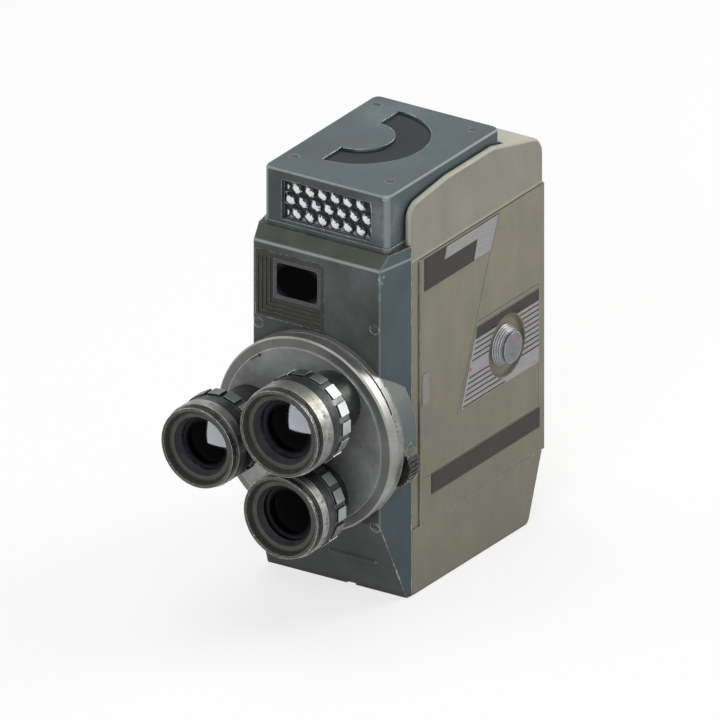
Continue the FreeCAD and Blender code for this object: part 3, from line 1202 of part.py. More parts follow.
cover_holes = [
    rod("pivot_bore", "-Y", ("turret_x", "0", "turret_height"), "pivot_radius + running_gap",
        "front_depth + overcut"),
    rod("cover_port", "-Y", ("gate_x", "0", "gate_z"), "port_radius", "front_depth + overcut"),
    box("bezel_hole", ("-bezel_left - seat_gap", "-front_depth - overcut", "bezel_bottom - seat_gap"),
        ("bezel_right + seat_gap", "-bezel_back + seat_gap", "bezel_top + seat_gap")),
    rod("wheel_pocket", "-Y", ("wheel_x", "-wheel_mid + pocket_half", "wheel_z"), "pocket_radius",
        "2 * pocket_half"),
    rod("wheel_bores", "-Y", ("wheel_x", "-wheel_mid + bore_half", "wheel_z"),
        "wheel_stub_radius + running_gap", "2 * bore_half"),
    box("release_hole", ("-release_left - release_room", "-front_depth", "release_bottom - release_room"),
        ("-release_left + release_width + release_room", "overcut",
         "release_bottom + release_height + release_room")),
    box("chin_notch", ("notch_left", "-chin_toe - overcut", "-overcut"),
        ("notch_left + notch_width", "-chin_toe + wall / 2", "notch_height")),
]
cover_screws = []
for name, x, z, sink in FRONT_SCREWS:
    cover_additions.append(rod(
        f"{name}_post", "-Y", (x, "0", z), "screw_post_radius",
        "front_depth - cover_wall / 2 - low_screw_sink"))
    cover_holes.append(rod(f"{name}_clear", "-Y", (x, "overcut", z), "screw_hole",
        "front_depth + 2 * overcut"))
    cover_holes.append(rod(
        f"{name}_seat", "-Y", (x, f"-front_depth + {sink} + screw_head_thick", z), "screw_seat",
        f"{sink} + screw_head_thick + overcut"))
    head = rod(
        f"{name}_head", "-Y", (x, f"-front_depth + {sink} + screw_head_thick", z), "screw_head_radius",
        "screw_head_thick")
    shank = rod(
        f"{name}_shank", "-Y", (x, "screw_grip", z), "screw_radius",
        f"screw_grip + front_depth - {sink} - screw_head_thick")
    slot = box(
        f"{name}_slot", (f"{x} - screw_seat", "-front_depth - overcut", f"{z} - screw_slot_width / 2"),
        (f"{x} + screw_seat", f"-front_depth + {sink} + screw_slot_depth", f"{z} + screw_slot_width / 2"))
    cover_screws.append(cut(f"{name}_screw", fuse(f"{name}_blank", [head, shank]), [slot]))
finish("front_cover", cut(
    "front_cover", fuse("cover_with_posts", [cover_shell] + cover_additions), cover_holes))
finish("cover_screws", gather("cover_screws", cover_screws))

# Start release
finish("release_button", fuse("release_button", [
    box("release_block", ("-release_left", "-release_front", "release_bottom"),
        ("-release_left + release_width", "-release_back", "release_bottom + release_height")),
    box("release_plate",
        ("-release_left - release_flange", "-release_back - release_flange_thick",
            "release_bottom - release_flange"),
        ("-release_left + release_width + release_flange", "-release_back",
         "release_bottom + release_height + release_flange")),
]))

# Thumbwheel in the boss
wheel_tooth = ("wheel_knurl", "wheel_radius", "wheel_knurl / 2")
finish("thumbwheel", fuse("thumbwheel", [
    toothed("wheel_rim", "-Y", ("wheel_x", "-wheel_mid + wheel_half", "wheel_z"),
            "wheel_radius - wheel_knurl", wheel_tooth, "wheel_count", "wheel_width"),
    rod("wheel_axle", "-Y", ("wheel_x", "-wheel_mid + wheel_half + wheel_stub_length", "wheel_z"),
        "wheel_stub_radius", "wheel_width + 2 * wheel_stub_length"),
]))

# Viewfinder
bezel_blank = box(
    "bezel_blank", ("-bezel_left", "-bezel_front", "bezel_bottom"),
    ("bezel_right", "-bezel_back", "bezel_top"))
bezel_steps = []
for place in range(int(size("step_count"))):
    start = f"step_edge + {place} * step_pitch"
    bezel_steps.append(box(
        f"step{place}", (f"-bezel_left + {start}", "-bezel_front - overcut", f"bezel_bottom + {start}"),
        ("window_frame", f"-bezel_front + {place + 1} * step_depth", "window_top + window_frame")))
stepped = cut("bezel_stepped", bezel_blank, bezel_steps)


def rounded_window(name, margin, low_y, high_y):
    """The viewfinder window's outline, grown by a margin, between two depths."""
    return slab(
        name, "-Y", ("0", high_y, "0"),
        ((f"-window_width - ({margin})", f"window_bottom - ({margin})"),
         (f"{margin}", f"window_bottom - ({margin})"), (f"{margin}", f"window_top + {margin}"),
         (f"-window_width - ({margin})", f"window_top + {margin}")), f"({high_y}) - ({low_y})",
        rounds=(("window_round", lambda edge: edge.YLength > 10 * max(edge.XLength, edge.ZLength, NEAR)),))


frame_front = "-bezel_front + (step_count - 1) * step_depth"
window_rim = rounded_window("window_rim", "window_frame - step_depth", frame_front, "-bezel_back")
finish("viewfinder_bezel", cut("viewfinder_bezel", fuse("bezel_with_rim", [stepped, window_rim]), [
    rounded_window("window_hole", "0", "-bezel_front - overcut", "-bezel_back + overcut"),
    box("glass_seat",
        ("-window_width - window_lap - seat_gap", "-bezel_back - window_thick",
         "window_bottom - window_lap - seat_gap"),
        ("window_lap + seat_gap", "-bezel_back + overcut", "window_top + window_lap + seat_gap")),
]))
finish("viewfinder_window", box(
    "viewfinder_window",
    ("-window_width - window_lap", "-bezel_back - window_thick", "window_bottom - window_lap"),
    ("window_lap", "-bezel_back", "window_top + window_lap")))
finish("viewfinder_tube", cut("viewfinder_tube", box(
    "tube_block", ("-window_width - tube_lap", "-bezel_back", "window_bottom - tube_lap"),
    ("tube_lap", "back_wall", "window_top + tube_lap")), [box(
        "tube_hollow", ("-window_width - tube_gap", "-bezel_back - overcut", "window_bottom - tube_gap"),
        ("tube_gap", "back_wall + overcut", "window_top + tube_gap"))]))
eye_end = "body_depth + eyepiece_reach"
eye_lens_start = f"{eye_end} - eye_cup_depth"
finish("viewfinder_eyepiece", cut("viewfinder_eyepiece", fuse("eye_blank", [
    rod("eye_cup", "-Y", ("eye_x", eye_end, "eye_z"), "eyepiece_radius", "eyepiece_reach"),
    rod("eye_spigot", "-Y", ("eye_x", "body_depth", "eye_z"), "eye_spigot_radius", "wall"),
]), [
    rod("eye_bore", "-Y", ("eye_x", f"{eye_end} + overcut", "eye_z"), "eye_bore_radius",
        "eyepiece_reach + wall + 2 * overcut"),
    rod("eye_seat", "-Y", ("eye_x", f"{eye_end} + overcut", "eye_z"), "eye_lens_radius + seat_gap",
        "eye_cup_depth + eye_lens_thick + overcut"),
]))
finish("eyepiece_lens", rod(
    "eyepiece_lens", "-Y", ("eye_x", eye_lens_start, "eye_z"), "eye_lens_radius", "eye_lens_thick"))

# Turret
centre = ("turret_x", "-front_depth", "turret_height")
ring = tube("seat_ring", "-Y", centre, "ring_radius", "ring_inner_radius", "ring_thick")
slot_back = ("turret_x", "-ring_front + slot_setback", "turret_height")
tail_start = size("slot_start") + size("slot_sweep")
slot_sectors = fuse("slot_sectors", [
    sector("long_slot", "-Y", slot_back, "ring_radius + overcut", "slot_width", size("slot_start"),
        "slot_sweep"),
    sector("slot_tail", "-Y", slot_back, "ring_radius + overcut", "slot_tail_width", tail_start,
           "slot_tail_sweep"),
    sector("short_slot", "-Y", slot_back, "ring_radius + overcut", "slot_width", size("short_slot_start"),
           "short_slot_sweep"),
])
slot_floor = rod("slot_floor", "-Y", slot_back, "ring_radius - slot_depth", "slot_width")
finish("turret_seat_ring", cut("turret_seat_ring", ring, [cut("ring_slots", slot_sectors, [slot_floor])]))

disc_blank = fuse("disc_blank", [
    rod("disc_rim", "-Y", ("turret_x", "-disc_back", "turret_height"), "disc_radius",
        "disc_rim_thick - disc_chamfer"),
    cone("disc_bevel", "-Y", ("turret_x", "-disc_rim_front + disc_chamfer", "turret_height"), "disc_radius",
         "disc_radius - disc_chamfer", "disc_chamfer"),
    rod("disc_face", "-Y", ("turret_x", "-disc_rim_front", "turret_height"), "disc_face_radius",
        "disc_face_rise"),
    rod("disc_hub", "-Y", ("turret_x", "-front_depth - hub_gap", "turret_height"), "hub_radius",
        "disc_back - front_depth - hub_gap"),
])
disc_holes = [rod(
    "disc_bore", "-Y", ("turret_x", "0", "turret_height"), "pivot_radius + running_gap",
    "disc_front + overcut")]
for lens in LENSES:
    disc_holes.append(rod(
        f"{lens}_thread", "-Y", (f"{lens}_x", "-front_depth", f"{lens}_z"), "spigot_radius + running_gap",
        "disc_front - front_depth + overcut"))
finish("turret_disc", cut("turret_disc", disc_blank, disc_holes))

head_start = "-disc_front - face_gap"
pivot_head = rod(
    "pivot_head", "-Y", ("turret_x", head_start, "turret_height"), "pivot_head_radius", "pivot_head_thick")
finish("turret_pivot", cut("turret_pivot", fuse("pivot_blank", [
    pivot_head,
    rod("pivot_shaft", "-Y", ("turret_x", "-front_depth + cover_wall + pivot_nut_thick", "turret_height"),
        "pivot_radius", "disc_front + face_gap - front_depth + cover_wall + pivot_nut_thick"),
    rod("pivot_nut", "-Y", ("turret_x", "-front_depth + cover_wall + pivot_nut_thick", "turret_height"),
        "pivot_nut_radius", "pivot_nut_thick"),
]), [box(
    "pivot_slot",
    ("turret_x - pivot_head_radius - overcut", f"{head_start} - pivot_head_thick - overcut",
     "turret_height - pivot_slot_width / 2"),
    ("turret_x + pivot_head_radius + overcut", f"{head_start} - pivot_head_thick + pivot_slot_depth",
     "turret_height + pivot_slot_width / 2"))]))

# Three lenses on the disc
for lens in LENSES:
    x, z = f"{lens}_x", f"{lens}_z"
    front, rim, sleeve = f"{lens}_front", f"{lens}_rim_radius", f"{lens}_sleeve_radius"
    scale_front, scale_back = f"{lens}_scale_front", f"{lens}_scale_back"
    grip_front, grip_back = f"{lens}_grip_front", f"{lens}_grip_back"
    glass_radius = f"{rim} - glass_margin"

    def length_of(name, start, end, radius):
        """A round part of the barrel between two distances in front of the seam."""
        return rod(f"{lens}_{name}", "-Y", (x, f"-({start})", z), radius, f"({end}) - ({start})")

    barrel_blank = fuse(f"{lens}_barrel_blank", [
        length_of("spigot", "disc_back", "disc_front", "spigot_radius"),
        length_of("foot", "disc_front", f"{grip_back} - retainer_length", "lens_base_radius"),
        length_of("retainer", f"{grip_back} - retainer_length", grip_back, f"{sleeve} + retainer_rise"),
        length_of("sleeve", grip_back, scale_front, sleeve),
        length_of("mid_band", grip_front, scale_back, f"{rim} + mid_band_rise"),
        length_of("front_band", scale_front, f"{front} - rim_lip", f"{rim} - band_step"),
        length_of("lip", f"{front} - rim_lip", front, rim),
    ])
    throat = f"{front} - glass_depth"
    funnel = f"{front} - mouth_depth"
    finish(f"{lens}_barrel", cut(f"{lens}_barrel", barrel_blank, [
        cone(f"{lens}_mouth", "-Y", (x, f"-({funnel})", z), f"{rim} - mouth_lip - mouth_taper",
             f"{rim} - mouth_lip", "mouth_depth"),
        cone(f"{lens}_throat", "-Y", (x, f"-({throat})", z), glass_radius,
             f"{rim} - mouth_lip - mouth_taper", "glass_depth - mouth_depth"),
        length_of("glass_seat", f"{throat} - glass_thick", throat, glass_radius),
        length_of("light_bore", "disc_back - overcut", throat, "bore_radius"),
        length_of("rear_seat", "disc_back - overcut", "disc_back + rear_glass_thick",
                  "rear_glass_radius + seat_gap"),
    ]))
    dome = ball(f"{lens}_dome", (x, f"-({throat}) + glass_curve", z), "glass_curve")
    front_glass = common(f"{lens}_front_glass", dome, length_of(
        "glass_blank", f"{throat} - glass_thick", throat, f"{glass_radius} - seat_gap"))
    rear_glass = length_of("rear_glass", "disc_back", "disc_back + rear_glass_thick", "rear_glass_radius")
    finish(f"{lens}_glass", gather(f"{lens}_glass", [front_glass, rear_glass]))
    finish(f"{lens}_scale_ring", tube(
        f"{lens}_scale_ring", "-Y", (x, f"-({scale_back} + seat_gap)", z), f"{rim} + scale_rise",
        f"{sleeve} + running_gap", f"{scale_front} - ({scale_back}) - 2 * seat_gap"))
    grip_length = f"{grip_front} - ({grip_back}) - 2 * seat_gap"
    grip_start = (x, f"-({grip_back} + seat_gap)", z)
    grip_skin = rod(f"{lens}_grip_skin", "-Y", grip_start, f"{rim} + grip_rise", grip_length)
    grip_pads = toothed(
        f"{lens}_grip_pads", "-Y", (x, f"-({grip_back} + seat_gap + pad_margin)", z), f"{rim} + grip_rise",
        ("pad_width / 2", f"{rim} + grip_rise + pad_rise", "pad_width / 2"), "pad_count",
        f"{grip_length} - 2 * pad_margin")
    grip_bore = rod(
        f"{lens}_grip_bore", "-Y", (x, f"-({grip_back} - overcut)", z), f"{sleeve} + running_gap",
        "grip_length + 2 * overcut")
    finish(f"{lens}_grip_ring", cut(
        f"{lens}_grip_ring", fuse(f"{lens}_grip_blank", [grip_skin, grip_pads]), [grip_bore]))

# Film gate, pressure plate and guide posts
pin_low = "gate_z - pin_spread / 2"
pin_high = "gate_z + pin_spread / 2"
gate_plate = cut("gate_with_aperture", box(
    "gate_blank", ("gate_left", "wall", "gate_z - gate_height / 2"),
    ("gate_right", "gate_back", "gate_z + gate_height / 2")), [box(
        "gate_aperture",
        ("gate_x - frame_opening_width / 2", "wall - overcut", "gate_z - frame_opening_height / 2"),
        ("gate_x + frame_opening_width / 2", "gate_back + overcut", "gate_z + frame_opening_height / 2"))])
gate_pins = []
pressure_bores = []
for name, z in (("low", pin_low), ("high", pin_high)):
    gate_pins.append(rod(f"{name}_pin", "-Y", ("pin_x", "gate_back + pin_length", z), "pin_radius",
        "pin_length"))
    pressure_bores.append(rod(
        f"{name}_pin_bore", "-Y", ("pin_x", "gate_back + pin_length + overcut", z),
        "pin_radius + running_gap", "pin_length + overcut"))
finish("gate_plate", fuse("gate_plate", [gate_plate] + gate_pins))
finish("pressure_plate", cut("pressure_plate", box(
    "pressure_blank",
    ("gate_left + pressure_side_gap", "pressure_front", "gate_z - gate_height / 2 + pressure_inset"),
    ("gate_right - pressure_side_gap", "pressure_front + pressure_thick",
     "gate_z + gate_height / 2 - pressure_inset")), pressure_bores))
finish("film_guides", gather("film_guides", [
    rod("low_guide", "X", ("chamber_x", "guide_setback", "gate_z - guide_spread / 2"), "guide_radius",
        "guide_length"),
    rod("high_guide", "X", ("chamber_x", "guide_setback", "gate_z + guide_spread / 2"), "guide_radius",
        "guide_length"),
]))

# Spools and their spindles
for name, y, z, bore in (
        ("takeup", "takeup_y", "takeup_z", "spindle_radius + seat_gap"),
        ("supply", "supply_y", "supply_z", "spindle_radius + running_gap")):
    finish(f"{name}_spool", cut(f"{name}_spool", fuse(f"{name}_spool_blank", [
        rod(f"{name}_near_flange", "X", ("spool_front_x", y, z), "spool_radius", "spool_flange"),
        rod(f"{name}_core", "X", ("spool_front_x", y, z), "spool_core_radius",
            "film_width + 2 * spool_flange"),
        rod(f"{name}_far_flange", "X", ("spool_back_x - spool_flange", y, z), "spool_radius", "spool_flange"),
    ]),
    [rod(f"{name}_spool_bore", "X", ("spool_front_x - overcut", y, z), bore, "film_width + 4 * overcut")]))
spindle_end = "spool_back_x - spool_flange"
takeup_tooth = gear_tooth("takeup_pitch")
finish("takeup_spindle", fuse("takeup_spindle", [
    rod("takeup_post", "X", ("chamber_x + face_gap", "takeup_y", "takeup_z"), "spindle_radius",
        f"{spindle_end} - chamber_x - face_gap"),
    rod("takeup_collar", "X", ("chamber_x + face_gap", "takeup_y", "takeup_z"), "spindle_collar_radius",
        "spool_front_x - chamber_x - face_gap"),
    rod("takeup_shaft", "X", ("plate_outer", "takeup_y", "takeup_z"), "shaft_radius",
        "chamber_x + face_gap - plate_outer"),
    toothed("takeup_pinion", "X", ("gear_outer", "takeup_y", "takeup_z"), "takeup_pitch - gear_module",
            takeup_tooth, "takeup_teeth", "gear_width", mesh_spin("takeup_y", "takeup_z", "takeup_teeth")),
]))
finish("supply_spindle", fuse("supply_spindle", [
    rod("supply_post", "X", ("chamber_x", "supply_y", "supply_z"), "spindle_radius",
        f"{spindle_end} - chamber_x"),
    rod("supply_collar", "X", ("chamber_x", "supply_y", "supply_z"), "spindle_collar_radius",
        "spool_front_x - chamber_x - face_gap"),
    rod("supply_stub", "X", ("mechanism_x", "supply_y", "supply_z"), "shaft_radius", "wall"),
]))

# Mechanism plate on four pillars
posts = []
for y in ("plate_front + post_inset", "plate_back - post_inset"):
    for z in ("plate_bottom + post_inset", "plate_top - post_inset"):
        posts.append(rod(
            "plate_post", "X", ("plate_inner - overcut", y, z), "post_radius",
            "mechanism_x - plate_inner + overcut"))
plate_blank = box(
    "plate_blank", ("plate_outer", "plate_front", "plate_bottom"), ("plate_inner", "plate_back", "plate_top"))
plate_bores = []
for y, z, radius in (
        ("takeup_y", "takeup_z", "shaft_radius"), ("drive_y", "drive_z", "arbor_radius"),
        ("idler_setback", "gate_z", "idler_shaft_radius"),
        ("footage_y", "footage_height", "footage_shaft_radius")):
    plate_bores.append(rod(
        "plate_bore", "X", ("plate_outer - overcut", y, z), f"{radius} + running_gap",
        "plate_thick + 2 * overcut"))
finish("mechanism_plate",
    cut("mechanism_plate", fuse("plate_with_posts", [plate_blank] + posts), plate_bores))

# Spring barrel with the drive gear
drive_tooth = gear_tooth("drive_pitch")
barrel_bore = rod(
    "barrel_key_bore", "X", ("drum_outer - overcut", "drive_y", "drive_z"), "key_shaft_radius + running_gap",
    "key_shaft_reach + face_gap + overcut")
finish("spring_barrel", cut("spring_barrel", fuse("barrel_blank", [
    rod("drum", "X", ("drum_outer", "drive_y", "drive_z"), "drum_radius", "drum_inner - drum_outer"),
    rod("arbor", "X", ("drum_inner", "drive_y", "drive_z"), "arbor_radius",
        "mechanism_x + arbor_seat - seat_gap - drum_inner"),
    toothed("drive_gear", "X", ("gear_outer", "drive_y", "drive_z"), "drive_pitch - gear_module",
            drive_tooth, "drive_teeth", "gear_width"),
]), [barrel_bore]))

# Idler with the crown gear, and the shutter that it turns
idler_tooth = gear_tooth("idler_pitch")
crown_spot = ("gear_inner", "idler_setback", "gate_z")
crown_teeth = toothed(
    "crown_teeth", "X", crown_spot, "crown_pitch - crown_width / 2",
    (f"crown_module * {CROWN_HALF}", "crown_pitch + crown_width / 2", f"crown_module * {CROWN_HALF}"),
    "crown_teeth", f"crown_module * {CROWN_HEIGHT}", 180.0 / size("crown_teeth"))
crown_hollow = rod(
    "crown_hollow", "X", crown_spot, "crown_pitch - crown_width / 2",
    f"crown_module * {CROWN_HEIGHT} + overcut")
finish("intermediate_gear", fuse("intermediate_gear", [
    toothed("idler_gear", "X", ("gear_outer", "idler_setback", "gate_z"), "idler_pitch - gear_module",
            idler_tooth, "idler_teeth", "gear_width", mesh_spin("idler_setback", "gate_z", "idler_teeth")),
    cut("crown_gear", crown_teeth, [crown_hollow]),
    rod("idler_shaft", "X", ("plate_outer", "idler_setback", "gate_z"), "idler_shaft_radius",
        "mechanism_x + arbor_seat - seat_gap - plate_outer"),
]))
pinion_tooth = (
    f"crown_module * {PINION_FOOT}", f"pinion_pitch + {PINION_RISE} * crown_module",
    f"crown_module * {PINION_POINT}")
finish("shutter", fuse("shutter", [
    sector("shutter_blade", "-Y", ("shutter_x", "-shutter_front", "gate_z"), "shutter_radius",
        "shutter_thick",
           size("shutter_start"), "360 - shutter_open"),
    rod("shutter_hub", "-Y", ("shutter_x", "-shutter_front / 2", "gate_z"), "shutter_hub_radius",
        "shutter_front / 2 + shutter_thick"),
    rod("shutter_shaft", "-Y", ("shutter_x", "pinion_mid + crown_width / 2", "gate_z"),
        "shutter_shaft_radius",
        "pinion_mid + crown_width / 2 + shutter_front / 2"),
    toothed("shutter_pinion", "-Y", ("shutter_x", "pinion_mid + crown_width / 2", "gate_z"),
            "pinion_pitch - crown_module", pinion_tooth, "pinion_teeth", "crown_width"),
]))

# Winding key with its folding handle
key_hub = rod("key_hub", "X", ("key_front", "drive_y", "drive_z"), "key_hub_radius", "key_hub_thick")
key_shaft = rod(
    "key_shaft", "X", ("key_back", "drive_y", "drive_z"), "key_shaft_radius",
    "drum_outer + key_shaft_reach - key_back")
ears = []
for side, low, high in (("front", "-ear_half_span - ear_thick", "-ear_half_span"),
                        ("back", "ear_half_span", "ear_half_span + ear_thick")):
    ears.append(box(
        f"{side}_ear", ("key_front - ear_height", f"drive_y + {low}", "drive_z - 2 * hinge_knuckle_radius"),
        ("key_front + overcut", f"drive_y + {high}", "drive_z + 2 * hinge_knuckle_radius")))
pin_hole = rod(
    "pin_hole", "-Y", ("hinge_x", "drive_y + ear_half_span + ear_thick + overcut", "drive_z"),
    "hinge_pin_radius + running_gap", "2 * (ear_half_span + ear_thick + overcut)")
finish("winding_key_hub", cut("winding_key_hub", fuse("key_blank", [key_hub, key_shaft] + ears), [pin_hole]))
eye_centre = "drive_z - handle_length"
handle = fuse("handle_blank", [
    rod("handle_knuckle", "-Y", ("hinge_x", "drive_y + ear_half_span - face_gap", "drive_z"),
        "hinge_knuckle_radius", "2 * (ear_half_span - face_gap)"),
    rod("handle_pin", "-Y", ("hinge_x", "drive_y + ear_half_span + ear_thick", "drive_z"),
        "hinge_pin_radius", "2 * (ear_half_span + ear_thick)"),
    box("handle_bar", ("hinge_x - handle_thick / 2", "drive_y - ear_half_span + face_gap", eye_centre),
        ("hinge_x + handle_thick / 2", "drive_y + ear_half_span - face_gap", "drive_z")),
    rod("handle_eye", "X", ("hinge_x - handle_thick / 2", "drive_y", eye_centre), "handle_eye_radius",
        "handle_thick"),
])
finish("winding_key_handle", cut("winding_key_handle", handle, [rod(
    "handle_hole", "X", ("hinge_x - handle_thick", "drive_y", eye_centre), "handle_hole_radius",
    "2 * handle_thick")]))

# Footage dial and speed dial
finish("footage_dial", fuse("footage_dial", [
    rod("footage_disc", "X", ("footage_face", "footage_y", "footage_height"), "footage_radius",
        "footage_thick"),
    rod("footage_shaft", "X", ("footage_face", "footage_y", "footage_height"), "footage_shaft_radius",
        "plate_inner - footage_face"),
]))
speed_tooth = ("speed_knurl", "speed_radius", "speed_knurl / 2")
finish("speed_dial", fuse("speed_dial", [
    toothed("speed_rim", "X", ("key_back - speed_thick", "speed_y", "speed_height"),
        "speed_radius - speed_knurl",
            speed_tooth, "speed_count", "speed_thick"),
    rod("speed_shaft", "X", ("key_back", "speed_y", "speed_height"), "speed_shaft_radius",
        "face_gap + door_thick + speed_shaft_reach"),
    rod("speed_collar", "X", ("-inner_face + face_gap", "speed_y", "speed_height"), "speed_collar_radius",
        "cam_thick"),
]))

doc.recompute()
for item in pieces:
    state = [word for word in item.State if word in ("Invalid", "Error")]
    if state or item.Shape.isNull() or not item.Shape.isValid():
        raise RuntimeError(f"{item.Label} has no valid shape")
for item in doc.Objects:
    if "Invalid" in item.State or "Error" in item.State:
        raise RuntimeError(f"{item.Label} could not be rebuilt")

os.makedirs("parts", exist_ok=True)
for item in pieces:
    item.Shape.exportStep(f"parts/{item.Label}.step")
print(f"{len(pieces)} pieces written")
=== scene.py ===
import math

import bmesh
import bpy
from mathutils import Matrix, Vector


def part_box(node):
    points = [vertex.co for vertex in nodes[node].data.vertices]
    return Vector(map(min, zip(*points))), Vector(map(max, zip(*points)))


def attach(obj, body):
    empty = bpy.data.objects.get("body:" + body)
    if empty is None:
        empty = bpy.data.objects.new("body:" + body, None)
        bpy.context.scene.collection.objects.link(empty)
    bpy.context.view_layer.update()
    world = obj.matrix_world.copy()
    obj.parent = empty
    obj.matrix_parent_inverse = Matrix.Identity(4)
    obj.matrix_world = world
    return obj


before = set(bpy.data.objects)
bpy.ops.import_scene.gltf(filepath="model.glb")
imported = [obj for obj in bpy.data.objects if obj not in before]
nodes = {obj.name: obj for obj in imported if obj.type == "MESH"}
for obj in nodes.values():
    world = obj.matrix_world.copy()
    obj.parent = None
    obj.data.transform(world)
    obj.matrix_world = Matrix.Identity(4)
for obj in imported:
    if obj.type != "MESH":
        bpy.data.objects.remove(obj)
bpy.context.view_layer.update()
scene = bpy.context.scene
mm = 0.001
seamY = -0.034  # where front cover and body meet
print("frame loaded,", len(nodes), "nodes")


# small helpers

def linearHex(code):
    tones = [int(code[i:i + 2], 16) / 255 for i in (1, 3, 5)]
    return tuple(t / 12.92 if t <= 0.04045 else ((t + 0.055) / 1.055) ** 2.4 for t in tones) + (1.0,)


# an input takes a value, a hex tone, an output, or a node, whose first output in use is linked
def setInputs(tree, node, inputs):
    for name, value in inputs.items():
        if isinstance(value, bpy.types.Node):
            value = next(socket for socket in value.outputs if socket.enabled)
        if isinstance(value, bpy.types.NodeSocket):
            tree.links.new(value, node.inputs[name])
        else:
            node.inputs[name].default_value = linearHex(value) if isinstance(value, str) else value


# shader nodes are named without their "ShaderNode"
def addNode(tree, kind, inputs=None, **settings):
    node = tree.nodes.new(kind if "Node" in kind else "ShaderNode" + kind)
    for name, value in settings.items():
        setattr(node, name, value)
    setInputs(tree, node, inputs or {})
    return node


def startMaterial(name):
    material = bpy.data.materials.new(name)
    material.use_nodes = True
    tree = material.node_tree
    tree.nodes.clear()
    shader = addNode(tree, "BsdfPrincipled")
    addNode(tree, "OutputMaterial", {"Surface": shader.outputs[0]})
    return material, tree, shader


def dress(material, *names):
    for name in names:
        mesh = nodes[name].data
        if not mesh.materials:
            mesh.materials.append(material)
        for place in range(len(mesh.materials)):
            mesh.materials[place] = material


def addObject(name, data):
    made = bpy.data.objects.new(name, data)
    scene.collection.objects.link(made)
    return made


def rawMesh(name, points, faces):
    mesh = bpy.data.meshes.new(name)
    mesh.from_pydata(points, [], faces)
    return mesh


# a plain mesh of what an object's text or modifiers make
def bakedMesh(holder):
    return bpy.data.meshes.new_from_object(holder.evaluated_get(bpy.context.evaluated_depsgraph_get()))


def at(x, behind, z):
    return Vector((x * mm, behind * mm + seamY, z * mm))


def tidyMesh(mesh, sharpAngle=35):
    work = bmesh.new()
    work.from_mesh(mesh)
    bmesh.ops.remove_doubles(work, verts=work.verts, dist=1e-7)
    bmesh.ops.recalc_face_normals(work, faces=work.faces)
    work.to_mesh(mesh)
    work.free()
    mesh.shade_smooth()
    mesh.set_sharp_from_angle(angle=math.radians(sharpAngle))
    return mesh


def addPiece(name, mesh, material, body):
    mesh.materials.clear()
    mesh.materials.append(material)
    piece = addObject(name, mesh)
    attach(piece, body)


def joinMeshes(name, parts):
    work = bmesh.new()
    for part in parts:
        work.from_mesh(part)
    mesh = bpy.data.meshes.new(name)
    work.to_mesh(mesh)
    work.free()
    return mesh


# a profile of (radius, height) pairs in mm, turned about local Z; closed, so it makes a ring or a disc
def turnedMesh(name, profile, matrix, steps=96):
    points, faces = [], []
    for place in range(steps):
        angle = 2 * math.pi * place / steps
        points += [(r * mm * math.cos(angle), r * mm * math.sin(angle), h * mm) for r, h in profile]
    size = len(profile)
    for place in range(steps):
        here, there = place * size, (place + 1) % steps * size
        for row in range(size):
            after = (row + 1) % size
            faces.append((here + row, here + after, there + after, there + row))
    mesh = rawMesh(name, points, faces)
    mesh.transform(matrix)
    return tidyMesh(mesh)


# local Z towards a direction, local X kept level
def towards(spot, direction):
    z = Vector(direction).normalized()
    side = Vector((0, 0, 1)) if abs(z.z) < 0.9 else Vector((0, 1, 0))
    x = side.cross(z).normalized()
    y = z.cross(x)
    turn = Matrix((x, y, z)).transposed().to_4x4()
    return Matrix.Translation(spot) @ turn


# an outline of (across, up) pairs given as points in space, thickened along a vector
def plateMesh(name, corners, thick):
    count = len(corners)
    points = [Vector(c) for c in corners] + [Vector(c) + thick for c in corners]
    faces = [tuple(range(count)), tuple(range(count, 2 * count))]
    faces += [(i, (i + 1) % count, (i + 1) % count + count, i + count) for i in range(count)]
    return tidyMesh(rawMesh(name, points, faces))


def blockMesh(name, low, high):
    corners = [(low[0], low[1], low[2]), (high[0], low[1], low[2]), (high[0], high[1], low[2]),
               (low[0], high[1], low[2])]
    return plateMesh(name, [Vector(c) * mm for c in corners], Vector((0, 0, (high[2] - low[2]) * mm)))


def numberMesh(words, height, thick):
    curve = bpy.data.curves.new("figure", "FONT")
    curve.body = words
    curve.align_x = "CENTER"
    curve.align_y = "CENTER"
    curve.resolution_u = 2
    curve.extrude = 0.5 * thick / height
    holder = addObject("figure", curve)
    mesh = bakedMesh(holder)
    bpy.data.objects.remove(holder)
    mesh.transform(Matrix.Scale(height * mm / 0.7, 4))  # a capital is 0.7 of the font's size
    return mesh


# camera, floor and light

studio = {
    "target": (-0.28, -21.44, 79.33), "back": (0.4975, -0.7662, 0.4067), "distance": 2.0, "width": 0.2544,
    "farEnd": 10, "floorRadius": 1.6, "floorSteps": 64, "floorDrop": 0.0002, "floorTone": "#F2F2F0",
    "floorGlow": 0.72, "skyLow": "#8A8C8E", "skyHigh": "#EDEFF2", "skyStrength": 0.5, "lampAim": (0, 0, 0.08),
}
camera = addObject("viewCamera", bpy.data.cameras.new("viewCamera"))
backward = Vector(studio["back"]).normalized()
camera.data.type = "ORTHO"  # the photograph has almost no perspective
camera.data.ortho_scale = studio["width"]
camera.data.clip_end = studio["farEnd"]
camera.location = Vector(studio["target"]) * mm + backward * studio["distance"]
camera.rotation_euler = (-backward).to_track_quat("-Z", "Y").to_euler()
scene.camera = camera
scene.view_settings.view_transform = "Standard"


# 1 for what is seen by the camera, in a reflection or through glass
def seenRays(tree):
    rays = addNode(tree, "LightPath").outputs
    seen = addNode(tree, "Math", {0: rays["Is Camera Ray"], 1: rays["Is Glossy Ray"]}, operation="MAXIMUM")
    return addNode(tree, "Math", {0: seen, 1: rays["Is Transmission Ray"]}, operation="MAXIMUM")


